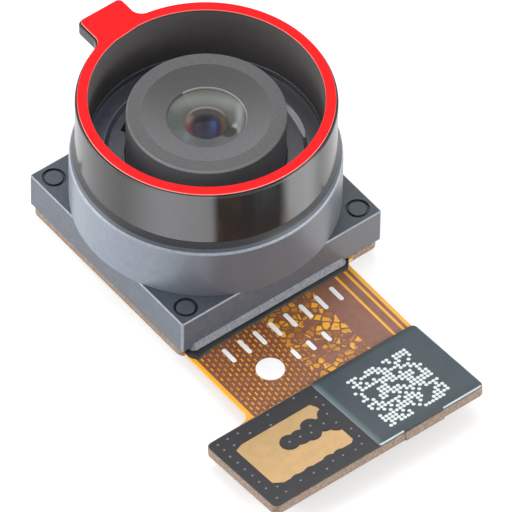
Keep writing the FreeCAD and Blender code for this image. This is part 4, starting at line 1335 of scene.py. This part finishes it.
@dataclass
class LensBarrel:
    """The stepped barrel with the front lens in its mouth."""

    radius: float = 2.745
    bevel: float = 0.06
    rim: float = 2.215
    opening: float = 1.367
    cone_depth: float = 0.25
    first: float = 1.63
    step: float = 0.15
    film: float = 0.04
    edges: tuple = (0.42, 0.4, 0.45, 0.6, 0.65)
    clear: float = 0.76
    sag: float = 0.17
    dish: float = 0.19
    back_sag: float = 0.05
    mouth_side: tuple = (0.95, 0.3)
    mouth_from: float = 0.45

    def tube(self) -> Surface:
        """The barrel: the outer wall, the shallow cone to the opening and the stepped bore.

        Returns:
            The barrel, a closed profile turned about the axis.
        """
        radii = self.first + self.step * np.arange(5)
        falls = np.cumsum([edge + self.film for edge in self.edges])
        steps = [Level.LENS] + [Level.LENS - fall + self.film for fall in falls[:4]] + [Level.BARREL]
        bore = [point for k in range(5) for point in ((radii[k], steps[k]), (radii[k], steps[k + 1]))]
        profile = [
            (self.radius, Level.BARREL),
            (self.radius, Level.BARREL_TOP - self.bevel),
            (self.radius - self.bevel, Level.BARREL_TOP),
            (self.rim, Level.BARREL_TOP),
            (self.opening, Level.BARREL_TOP - self.cone_depth),
            (self.opening, Level.LENS),
            *bore,
        ]
        return lathe(rounded(profile, [0.02, 0.02, 0.02, 0.03, 0.02] + [0.01] * 11, True, 4))

    def lens(self) -> Surface:
        """The front lens: a dished flange with a dome in it, and a slightly hollow back.

        The dome is an arc of radius (clear squared plus sag squared) over twice the sag.

        Returns:
            The closed lens.
        """
        radius = (self.clear**2 + self.sag**2) / (2 * self.sag)
        half = math.asin(self.clear / radius)
        angle = np.linspace(half, 0.0, 28)
        crest = Level.LENS - self.dish + self.sag
        dome_normals = ray(angle)[:, ::-1]
        dome = dome_normals * radius + (0.0, crest - radius)
        low = Level.LENS - self.edges[0]
        edge = self.first - 0.01
        corners = [
            (0, low + self.back_sag),
            (self.clear, low),
            (edge, low),
            (edge, Level.LENS),
            (self.opening - 0.02, Level.LENS),
            (self.clear + 0.01, Level.LENS - self.dish),
        ]
        flange = rounded(corners, [0, 0.05, 0.02, 0.02, 0.05, 0], False, 4)
        profile = Line(np.vstack([flange.points, dome]), np.vstack([flange.normals, dome_normals]))
        return lathe(profile, closed=False, count=192)

    def on_wall(self, spots: Spots) -> np.ndarray:
        """The faces of the barrel's outer wall, for the painted light."""
        return spots.away > self.radius - 0.01

    def in_cone(self, spots: Spots) -> np.ndarray:
        """The faces of the shallow cone between the rim and the opening, for the painted light and shade."""
        return (spots.away < self.rim) & (spots.away > self.opening) & (spots.up > Level.LENS + 0.02)

    def on_edges(self, spots: Spots) -> np.ndarray:
        """The faces on the barrel's outer bevel, for the painted highlight."""
        near = spots.away > self.radius - self.bevel - 0.004
        return near & (spots.up > Level.BARREL_TOP - self.bevel - 0.01)

    def on_mouth(self, spots: Spots) -> np.ndarray:
        """The faces round the far right half of the opening's rim, for the painted highlight."""
        side = spots.centres[:, :2] @ self.mouth_side
        return (spots.away < self.opening + 0.03) & (spots.up > Level.LENS + 0.03) & (side > self.mouth_from)

    def make(self, shop: Workshop) -> None:
        """Make the barrel and its front lens, and dress what they hold.

        Args:
            shop: The workshop that makes the pieces.
        """
        shop.piece(
            "barrel_moulding",
            self.tube(),
            MATT_POLYCARBONATE,
            "barrel_plastic",
            "lens_barrel",
            # The second finishes paint light, shade and highlights onto the same polycarbonate.
            others=(
                (WALL_LIGHT_POLYCARBONATE, self.on_wall),
                (CONE_LIGHT_AND_SHADE_POLYCARBONATE, self.in_cone),
                (BEVEL_HIGHLIGHT_POLYCARBONATE, self.on_edges),
                (RIM_HIGHLIGHT_POLYCARBONATE, self.on_mouth),
            ),
        )
        shop.piece("front_lens_element", self.lens(), COATED_LENS_REFLECTIONS, "lens_plastic", "front_lens")
        for node in ("second_lens", "third_lens", "fourth_lens", "fifth_lens"):
            shop.dress(node, OPTICAL_POLYMER)
        for node in ("aperture_stop", "second_spacer", "third_spacer", "fourth_spacer"):
            shop.dress(node, CARBON_SHIM)
        shop.dress("lens_retainer", MATT_POLYCARBONATE)
        shop.dress("barrel_glue", CURED_EPOXY)


@dataclass
class SealRing:
    """The tall seal ring with its pull lug, the adhesive on it and the red liner."""

    outer: float = 4.473
    inner: float = 4.043
    inset: float = 0.08
    lug_left: float = -1.4
    lug_right: float = 0.5
    lug_end: float = 5.487
    lug_thick: float = 0.42
    corner: float = 0.26
    fillet: float = 0.36
    count: int = 384

    def lug_run(self, inset: float) -> tuple[Line, float, float]:
        """The lug's side of the outline, from the ring round the lug and back to the ring.

        A root fillet touches the lug's side and the ring's circle, so its centre is fillet beside
        the side and the circle's radius plus fillet from the axis.

        Args:
            inset: How far the whole line is set in.

        Returns:
            The run, and the angles on the ring at which it starts and ends.
        """
        fillet = self.fillet + inset
        lug_left, lug_right, lug_end = self.lug_left + inset, self.lug_right - inset, self.lug_end - inset
        reach = self.outer + self.fillet
        right_x, left_x = lug_right + fillet, lug_left - fillet
        right_y, left_y = math.sqrt(reach**2 - right_x**2), math.sqrt(reach**2 - left_x**2)
        start, end = math.atan2(right_y, right_x), math.atan2(left_y, left_x)
        right = ray(np.linspace(start + math.pi, math.pi, 12))
        left = ray(np.linspace(0.0, end - math.pi, 12))
        corners = [(lug_right, right_y), (lug_right, lug_end), (lug_left, lug_end), (lug_left, left_y)]
        corner = self.corner - inset
        tip = rounded(corners, [0, corner, corner, 0], False, 8)
        points = [right * fillet + (right_x, right_y), tip.points[1:-1], left * fillet + (left_x, left_y)]
        normals = [-right, tip.normals[1:-1], -left]
        return Line(np.vstack(points), np.vstack(normals)), start, end

    def tab_line(self, inset: float) -> Line:
        """The films' outer line: round the circle to the lug's right root, then round the lug.

        Args:
            inset: How far the whole line is set in.

        Returns:
            The line, counter-clockwise.
        """
        run, start, end = self.lug_run(inset)
        ring = ray(np.linspace(end, start + TURN, self.count)[1:-1])
        return Line(np.vstack([ring * (self.outer - inset), run.points]), np.vstack([ring, run.normals]))

    def inner_line(self, outline: Line) -> Line:
        """The ring's inner circle, with a point on the ray to each point of its outer line."""
        outward = outline.points / np.linalg.norm(outline.points, axis=1, keepdims=True)
        return Line(outward * self.inner, -outward)

    def body(self) -> Surface:
        """The rubber ring with the lug block at its top."""
        corners = rectangle(self.inner, self.outer, Level.SEAT, Level.RING_TOP)
        return joined(lathe(rounded(corners, [0.03, 0.03, 0.07, 0.02]), count=self.count), self.lug())

    def lug(self) -> Surface:
        """The lug's block, closed inside the ring's wall by an arc half a wall in.

        Returns:
            The closed block.
        """
        run, start, end = self.lug_run(0.0)
        inward = -ray(np.linspace(end, start, 24))
        arc = inward * -(self.outer + self.inner) / 2
        outline = Line(np.vstack([run.points, arc]), np.vstack([run.normals, inward]))
        return slab(outline, wall(Level.RING_TOP - self.lug_thick, Level.RING_TOP, 0.05))

    def make(self, shop: Workshop) -> None:
        """Make the ring, the adhesive and the liner.

        Args:
            shop: The workshop that makes the pieces.
        """
        outer = self.tab_line(self.inset)
        inner = self.inner_line(outer)
        shop.piece(
            "seal_ring_rubber",
            self.body(),
            POLISHED_SILICONE_REFLECTIONS,
            "seal_rubber",
            "seal_ring",
            others=((BLASTED_SILICONE_PAINTED_LIGHT, self.on_bore),),
        )
        tape = ring_sheet(outer, inner, Level.RING_TOP, Level.LINER, 0.008)
        shop.piece("ring_tape", tape, ACRYLIC_TAPE, "adhesive", "ring_adhesive")
        shop.piece(
            "liner_sheet",
            ring_sheet(outer, inner, Level.LINER, Level.LINER_TOP, 0.012),
            DYED_POLYESTER,
            "liner_film",
            "release_liner",
            others=((CUT_EDGE_HIGHLIGHT_POLYESTER, self.on_cut),),
        )

    def on_bore(self, spots: Spots) -> np.ndarray:
        """The faces of the ring's inner wall, for the painted light."""
        return spots.away < self.inner + 0.1

    def on_cut(self, spots: Spots) -> np.ndarray:
        """The faces of the liner below its top: its cut edges and its base, for the painted highlight."""
        return spots.up < Level.LINER_TOP - 0.003


@dataclass
class SensorBase:
    """The stiffener, the board and what the holder hides."""

    def make(self, shop: Workshop) -> None:
        """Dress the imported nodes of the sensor's board.

        Args:
            shop: The workshop that makes the pieces.
        """
        for node, finish in (
            ("base_stiffener", ROLLED_STEEL),
            ("sensor_board", GLASS_EPOXY),
            ("holder_glue", CURED_EPOXY),
            ("infrared_filter", FILTER_GLASS),
            ("sensor_chip", POLISHED_SILICON),
            ("bond_wires", GOLD_WIRE),
            ("board_capacitors", FIRED_CERAMIC),
            ("memory_chip", MOULDED_EPOXY),
        ):
            shop.dress(node, finish)


@dataclass
class FlexCircuit:
    """The flexible circuit with its root sealant and its printed marks."""

    left: float = -4.15
    right: float = 2.75
    root: float = -4.24
    reach: float = 0.4
    waves: tuple = ((0.05, 7.0, 0.0), (0.025, 31.0, 1.0), (0.008, 83.0, 0.0))
    left_reach: float = 0.12
    left_share: float = 0.1
    end_share: float = 0.035
    end_least: float = 0.2
    side_from: float = 0.94
    slump: float = 0.9
    side: float = 0.15
    mark_thick: float = 0.012
    spot: float = 0.5
    spot_place: tuple = (-2.275, -6.57)
    stroke: float = 0.17
    rows: tuple = ((-3.02, -5.25, 0.72, 8), (-1.18, -6.57, 0.5, 3))
    pitch: float = 0.66

    def sealant(self) -> Surface:
        """The black sealant along the circuit's root.

        At the place u along the root the bead reaches out by reach times a slow wave of u, a
        little more at its left end, and dies out at both ends. In v it falls from the board's
        edge to the circuit as a quarter of an ellipse, slumped by a power. Its right end draws
        back to the board's edge from a place near that end.

        Returns:
            The bead, closed at its back, underneath and at both ends.
        """
        u = np.linspace(0.0, 1.0, 201)[:, None]
        v = np.linspace(0.0, 1.0, 15)[None, :]
        x = self.left + (self.right - self.left) * u
        wave = 1.0 + sum(size * np.sin(pace * u + shift) for size, pace, shift in self.waves)
        thick = self.left_reach * np.exp(-((u / self.left_share) ** 2))
        near_end = np.minimum(u, 1.0 - u) / self.end_share
        end = np.minimum(1.0, near_end + self.end_least) ** 0.5
        reach = (self.reach * wave + thick) * end
        x = x + self.side * np.clip((u - self.side_from) / (1.0 - self.side_from), 0.0, 1.0) * (1.0 - v)
        turn = v * math.pi / 2
        y = self.root - reach * np.sin(turn)
        low = Level.FLEX_TOP - 0.004
        z = low + (Level.HOLDER - Level.FLEX_TOP) * np.cos(turn) ** self.slump * end**0.5
        top = np.stack(np.broadcast_arrays(x, y, z), axis=2)
        back = top[:, :1].copy()
        back[:, :, 2] = low
        points = np.concatenate([top, back], axis=1)
        along = np.gradient(points, axis=0)
        over = np.roll(points, -1, axis=1) - np.roll(points, 1, axis=1)
        over[:, 0] = points[:, 1] - points[:, 0]
        over[:, -2] = points[:, -2] - points[:, -3]
        over[:, -1] = (0, 0, 1)
        normals = np.cross(over, along)
        normals /= np.maximum(np.linalg.norm(normals, axis=2, keepdims=True), 1e-12)
        rows, columns = points.shape[:2]
        faces = grid_faces(rows, columns, False, True)[:, ::-1].tolist()
        last = (rows - 1) * columns + np.arange(columns)
        caps = [tuple(range(columns)), tuple(last[::-1])]
        return Surface(points.reshape(-1, 3), normals.reshape(-1, 3), faces + caps)

    def marks(self) -> Surface:
        """The ink: a round spot and two rows of strokes with round ends.

        Returns:
            The marks, each a closed slab.
        """
        side = wall(Level.FLEX_TOP, Level.FLEX_TOP + self.mark_thick, 0.004, 3)
        made = [slab(circle(self.spot, 96).moved(*self.spot_place), side)]
        half = self.stroke / 2
        for start, middle, length, count in self.rows:
            for place in start + self.pitch * np.arange(count):
                corners = rectangle(place - half, place + half, middle - length / 2, middle + length / 2)
                made.append(slab(rounded(corners, half * 0.98), side))
        return joined(*made)

    def make(self, shop: Workshop) -> None:
        """Dress the flexible circuit, and make the sealant and the marks.

        Args:
            shop: The workshop that makes the pieces.
        """
        shop.dress("flex_circuit", POLYIMIDE)
        shop.piece("root_sealant_bead", self.sealant(), CURED_EPOXY, "glue", "flex_root_sealant")
        shop.piece("ink_marks", self.marks(), PRINTED_INK, "ink", "printed_marks")


@dataclass
class EndBoard:
    """The end board with its mask, ground pad, plated holes, label and connector.

    The chain and the lobes are the plated holes that the mask covers beside the gold, and the
    other holes lie around it. All sizes are in the board's own frame: -Y runs to its far edge.
    """

    left: float = -6.177
    right: float = 2.81
    width: float = 3.9
    thick: float = 0.4
    corner: float = 0.25
    rest: tuple = (-0.66, 1.03, 0.05)
    mask: float = 0.035
    mask_inset: float = 0.02
    strip: float = 0.06
    label_left: float = -1.7
    label_thick: float = 0.04
    label_inset: float = 0.02
    cover: float = 0.35
    pace: float = 0.02
    nowhere: float = -9.0
    hole: float = 0.062
    crown: float = 0.7
    proud: float = 0.001
    crest: float = 0.0175
    pad: tuple = (-5.53, -2.17, -3.13, -0.77)
    cut: tuple = (0.32, 0.24)
    chain: tuple = (
        (-3.9, -1.75), (-3.47, -1.79), (-3.07, -1.88), (-2.9, -1.6), (-2.49, -1.81), (-2.12, -1.52),
        (-2.14, -2.05),
    )
    lobes: tuple = ((-5.62, -3.28), (-4.73, -3.43), (-4.18, -3.43), (-3.34, -3.41), (-2.92, -3.42))
    holes: tuple = (
        (-5.51, -3.15), (-5.43, -3.53), (-5.85, -3.56), (-5.84, -0.3), (-5.41, -0.29),
        (-4.99, -0.3), (-4.67, -0.56), (-5.43, -0.67), (-5.82, -0.63), (-5.86, -1.01),
        (-5.84, -1.4), (-5.84, -1.8), (-5.83, -2.2), (-5.84, -2.58), (-5.85, -2.97), (-3.9, -0.71),
        (-3.68, -0.26), (-3.72, -3.57), (-2.43, -3.48), (-2.1, -3.4), (-2.53, -0.2), (-1.92, -0.65),
        (-1.95, -1.1), (-1.93, -2.6), (-1.95, -3.05),
    )

    def laminate(self) -> Surface:
        """The bare board under the mask, with the break-off rest on its far edge.

        Returns:
            The closed board.
        """
        left, right, far = self.left, self.right, -self.width
        low, high, reach = self.rest
        corners = [
            (left, far),
            (low, far),
            (low + 0.03, far - reach),
            (high - 0.03, far - reach),
            (high, far),
            (right, far),
            (right, 0),
            (left, 0),
        ]
        radii = [self.corner, 0.02, 0.02, 0.02, 0.02, self.corner, self.corner, self.corner]
        return slab(rounded(corners, radii), wall(-self.thick, -self.mask, 0.02))

    def coating(self) -> Surface:
        """The mask: a rounded wall, and a top with the pad's opening and its edge.

        Returns:
            The mask, open underneath where it lies on the board.
        """
        inset = self.mask_inset
        far, near = -self.width + inset, -self.strip
        left, right = self.left + inset, self.right - inset
        outline = rounded(rectangle(left, right, far, near), self.corner - inset)
        profile = wall(-self.mask, 0.0, 0.012)
        side = grid_surface(*carried(outline, profile))
        rim = outline.points + outline.normals * profile.points[-1, 0]
        opening = self.opening()
        edge = Line(opening.points, -opening.normals)
        drop = rounded([(0, 0.0), (0, -self.mask), (-0.01, -self.mask)], 0.004, False)
        inner = grid_surface(*carried(edge, drop))
        return joined(side, holed_top(rim, [opening.points[::-1]], 0.0), inner)

    def opening(self) -> Line:
        """The scalloped outline of the gold, where round lobes of mask cover its plated holes.

        Over a place x the lobes' upper edge is the largest centre height plus the root of the
        radius squared less the distance squared, and the lower edge is the smallest less the root.
        The outline runs along the far lobes, back under the chain of lobes that comes in from the
        right, out above it, and round the near side.

        Returns:
            The outline, counter-clockwise.
        """
        left, right, far, near = self.pad
        across, along = self.cut
        tip = self.chain[0][0] - self.cover + 1e-6
        fine = tip + self.cover * (1.0 - np.cos(np.linspace(0.0, math.pi / 2, 24)))
        x = np.concatenate([fine, np.arange(fine[-1] + self.pace, right, self.pace), [right]])
        above = self.envelope(self.chain, x, 1.0)
        below = self.envelope(self.chain, x, -1.0)
        low_x = np.arange(left, right + self.pace / 2, self.pace)
        bends = [left, left + across, right - across / 2, right]
        plain = np.interp(low_x, bends, [far + along, far, far, far + along / 2])
        low = np.maximum(plain, self.envelope(self.lobes, low_x, 1.0))
        near_side = [(right, near - along), (right - along / 2, near)]
        near_side += [(left + across, near), (left, near - along / 2)]
        far_run = np.column_stack([low_x, low])
        back_run = np.column_stack([x, below])[::-1]
        out_run = np.column_stack([x, above])[1:]
        points = np.vstack([far_run, back_run, out_run, near_side])
        ahead = np.roll(points, -1, axis=0) - np.roll(points, 1, axis=0)
        normals = np.stack([ahead[:, 1], -ahead[:, 0]], axis=1)
        return Line(points, normals / np.linalg.norm(normals, axis=1, keepdims=True))

    def envelope(self, centres: tuple, x: np.ndarray, side: float) -> np.ndarray:
        """The lobes' edge on one side over the places x, and far away where there is none.

        Args:
            centres: The lobes' centres.
            x: The places across.
            side: 1 for the upper edge, -1 for the lower one.

        Returns:
            The edge's place along the board for each x.
        """
        spot = np.array(centres)
        rise = self.cover**2 - (x[:, None] - spot[None, :, 0]) ** 2
        edge = spot[None, :, 1] * side + np.sqrt(np.maximum(rise, 0.0))
        return np.where(rise >= 0, edge, self.nowhere).max(axis=1) * side

    def hole_marks(self) -> Surface:
        """The filled plated holes, each a low dome that stands a few microns proud.

        A dome is the top of a ball, as far down as an angle of crown radians from its crest.

        Returns:
            The domes, each closed underneath.
        """
        ball = self.hole / math.sin(self.crown)
        over = ray(np.linspace(self.crown, 0.0, 6))[:, ::-1]
        under = [(0.0, -0.01), (self.hole, -0.01)]
        points = np.vstack([under, over * ball - (0.0, ball * math.cos(self.crown))])
        normals = np.vstack([[(0.0, -1.0), (1.0, 0.0)], over])
        button = lathe(Line(points, normals), False, 16)
        made = []
        for across, along in self.chain + self.lobes[1:] + self.holes:
            place = np.array([across, along, self.proud])
            made.append(Surface(button.points + place, button.normals, button.faces))
        return joined(*made)

    def on_crest(self, spots: Spots) -> np.ndarray:
        """The faces at the domes' crests, for the painted highlight."""
        return spots.in_board()[:, 2] > self.crest

    def on_label_edge(self, spots: Spots) -> np.ndarray:
        """Pick the faces of the label's far and right edges, but not beside the rest, for the painted
        highlight.

        Args:
            spots: The faces' places.

        Returns:
            True for each face that is one of them.
        """
        place = spots.in_board()
        beside_rest = (place[:, 0] > self.rest[0]) & (place[:, 0] < self.rest[1])
        far = (place[:, 1] < -self.width + self.label_inset + 0.055) & ~beside_rest
        right = place[:, 0] > self.right - self.label_inset - 0.03
        return (far | right) & (place[:, 2] < self.label_thick - 0.001)

    def plate(self) -> Surface:
        """The ground pad's gold, a little below the mask's top."""
        return slab(self.opening(), wall(-self.mask, -0.015, 0.004))

    def label(self) -> Surface:
        """The label over the right part of the board, with its edges bent down.

        Its far edge is split at the rest's two ends, so that the faces beside the rest can be
        told from the others.

        Returns:
            The closed label.
        """
        inset = self.label_inset
        far, near, right = -self.width + inset, -inset, self.right - inset
        corner, high = self.corner - inset, self.label_thick
        line = rounded(rectangle(self.label_left, right, far, near), [0.1, corner, corner, 0.1])
        rest = [(self.rest[0], far), (self.rest[1], far)]
        points = np.insert(line.points, [7, 7], rest, axis=0)
        normals = np.insert(line.normals, [7, 7], [(0.0, -1.0)] * 2, axis=0)
        bend = [(-0.02, 0.0), (0, 0.0), (0, 0.014), (-0.05, high), (-0.09, high)]
        return slab(Line(points, normals), rounded(bend, [0, 0.003, 0.008, 0.03, 0], False))

    def make(self, shop: Workshop) -> None:
        """Make the board's layers and dress its connector.

        Args:
            shop: The workshop that makes the pieces.
        """
        laminate = "board_laminate"
        crests, edges = ((CREST_HIGHLIGHT_MASK, self.on_crest),), ((LABEL_EDGE_HIGHLIGHT, self.on_label_edge),)
        for name, surface, finish, slot, nodes, others in (
            ("end_board_laminate", self.laminate(), GLASS_EPOXY, laminate, ("connector_board",), ()),
            ("end_board_mask", self.coating(), SOLDER_MASK, laminate, (), ()),
            ("plated_hole_marks", self.hole_marks(), SOLDER_MASK, laminate, (), crests),
            ("ground_pad_plate", self.plate(), IMMERSION_GOLD, "gold", ("ground_pad",), ()),
            ("label_sheet", self.label(), LABEL_FILM, "label_film", ("code_label",), edges),
        ):
            placed = surface.turned(BOARD_TURN, BOARD_ORIGIN)
            shop.piece(name, placed, finish, slot, *nodes, others=others)
        shop.dress("connector_housing", MOULDED_POLYAMIDE)
        shop.dress("connector_contacts", IMMERSION_GOLD)
        shop.dress("connector_hold_downs", IMMERSION_GOLD)


@dataclass
class Studio:
    """The pale floor, the soft boxes and the camera at the photograph's angle.

    Angles are in degrees and places in mm. The focal length and the image are in pixels. The part
    rests on the connector's near edge, at a place along and a height, and on the stiffener's far
    edge at height 0.
    """

    azimuth: float = -38.478
    elevation: float = 48.665
    roll: float = 0.934
    distance: float = 400.0
    focal: float = 11667.094
    shift_right: float = 1.742
    shift_up: float = -0.984
    lift: float = 0.15
    image: int = 512
    sensor: float = 36.0
    lamps: tuple = (
        ("window_box", -120, 36, (90, 90), 2.4),
        ("left_strip", -132, 5, (90, 40), 9.0),
        ("back_box", 150, 74, (90, 90), 2.0),
        ("right_box", 35, 14, (120, 70), 4.2),
    )
    hang: float = 120.0
    aim: tuple = (0.0, -3.0, 3.0)
    fill: float = 0.42
    floor_colour: str = "#e6e6e6"
    floor_seen: float = 0.45
    floor_reach: float = 400.0
    floor_gap: float = 0.005
    rest_near: tuple = (-8.874, -0.4764)
    rest_far: float = 4.09

    @staticmethod
    def towards(azimuth: float, elevation: float) -> Vector:
        """Find the direction from the part to a place round it.

        It is (sin a cos e, -cos a cos e, sin e), so that azimuth 0 looks along +Y.

        Args:
            azimuth: The place round the part in degrees.
            elevation: The place above the floor in degrees.

        Returns:
            The unit direction.
        """
        a, e = math.radians(azimuth), math.radians(elevation)
        return Vector((math.sin(a) * math.cos(e), -math.cos(a) * math.cos(e), math.sin(e)))

    def camera(self) -> None:
        """Set the camera: round the part by azimuth and elevation, rolled, and far away."""
        turn, roll = math.radians(self.azimuth), math.radians(self.roll)
        back = self.towards(self.azimuth, self.elevation)
        level = Vector((math.cos(turn), math.sin(turn), 0.0))
        over = back.cross(level)
        right = level * math.cos(roll) + over * math.sin(roll)
        up = over * math.cos(roll) - level * math.sin(roll)
        place = back * self.distance + right * self.shift_right + up * self.shift_up
        data = bpy.data.cameras.new("portrait_camera")
        data.sensor_width = self.sensor
        data.lens = self.sensor * self.focal / self.image
        data.clip_start, data.clip_end = 0.01, 10.0
        camera = bpy.data.objects.new("portrait_camera", data)
        axes = Matrix((right, up, back)).transposed().to_4x4()
        camera.matrix_world = Matrix.Translation((place + Vector((0, 0, self.lift))) * MM) @ axes
        bpy.context.scene.collection.objects.link(camera)
        bpy.context.scene.camera = camera

    def soft_box(self, name: str, azimuth: float, elevation: float, size: tuple, level: float) -> None:
        """Hang a soft box that faces the part.

        Its power is its level times pi times its area, at which a level of 1 looks white.

        Args:
            name: The lamp's name.
            azimuth: Its place round the part in degrees, counted as the camera's.
            elevation: Its place above the floor in degrees.
            size: Its width and height in mm.
            level: Its brightness.
        """
        away = self.towards(azimuth, elevation)
        data = bpy.data.lights.new(name, "AREA")
        data.shape = "RECTANGLE"
        data.size, data.size_y = size[0] * MM, size[1] * MM
        data.energy = level * math.pi * data.size * data.size_y
        lamp = bpy.data.objects.new(name, data)
        lamp.location = (away * self.hang + Vector(self.aim)) * MM
        lamp.rotation_euler = away.to_track_quat("Z", "Y").to_euler()
        bpy.context.scene.collection.objects.link(lamp)

    def floor(self) -> None:
        """Lay the floor under the stiffener's far edge and the connector's near edge."""
        near, low = self.rest_near
        slope = -low / (self.rest_far - near)
        reach = self.floor_reach
        low -= self.floor_gap
        square = rectangle(-reach, reach, -reach, reach)
        corners = [(x, y, low + slope * (y - near)) for x, y in square]
        mesh = bpy.data.meshes.new("studio_floor")
        mesh.from_pydata((np.array(corners) * MM).tolist(), [], [(0, 1, 2, 3)])
        floor = bpy.data.objects.new("studio_floor", mesh)
        bpy.context.scene.collection.objects.link(floor)
        material = bpy.data.materials.new("pale_floor")
        material.use_nodes = True
        tree = material.node_tree
        shader = tree.nodes["Principled BSDF"]
        shader.inputs["Base Color"].default_value = linear(self.floor_colour)
        shader.inputs["Roughness"].default_value = 0.9
        shader.inputs["Emission Color"].default_value = (1, 1, 1, 1)
        tree.links.new(self.seen(tree, self.floor_seen), shader.inputs["Emission Strength"])
        mesh.materials.append(material)

    @staticmethod
    def seen(tree: Tree, level: float) -> Socket:
        """Make a level that the camera, a mirror or a glass sees, and that lights nothing.

        Args:
            tree: The node tree.
            level: The level.

        Returns:
            The level on those rays, and nothing on the others.
        """
        path = add(tree, "LightPath")
        ray_kind = path.outputs["Is Camera Ray"]
        for other in ("Is Glossy Ray", "Is Transmission Ray"):
            both = {"i0": ray_kind, "i1": path.outputs[other]}
            ray_kind = add(tree, "Math", {"operation": "MAXIMUM"}, **both).outputs[0]
        return add(tree, "Math", {"operation": "MULTIPLY"}, i0=ray_kind, i1=level).outputs[0]

    def world(self) -> None:
        """Light the part evenly, and stand it before white."""
        world = bpy.data.worlds.new("studio_world")
        world.use_nodes = True
        tree = world.node_tree
        background = tree.nodes["Background"]
        background.inputs["Color"].default_value = (1, 1, 1, 1)
        level = add(tree, "MapRange", Value=self.seen(tree, 1.0), To_Min=self.fill, To_Max=1.0)
        tree.links.new(level.outputs[0], background.inputs["Strength"])
        bpy.context.scene.world = world

    def make(self) -> None:
        """Set up the studio."""
        self.camera()
        self.floor()
        self.world()
        for lamp in self.lamps:
            self.soft_box(*lamp)
        bpy.context.scene.view_settings.view_transform = "Standard"


def main() -> None:
    """Build and dress the module piece by piece, then the studio."""
    logging.basicConfig(level=logging.INFO, format="%(name)s: %(message)s")
    shop = Workshop()
    for part in (LensHolder(), LensBarrel(), SealRing(), SensorBase(), FlexCircuit(), EndBoard()):
        part.make(shop)
    Studio().make()


if __name__ == "__main__":
    main()
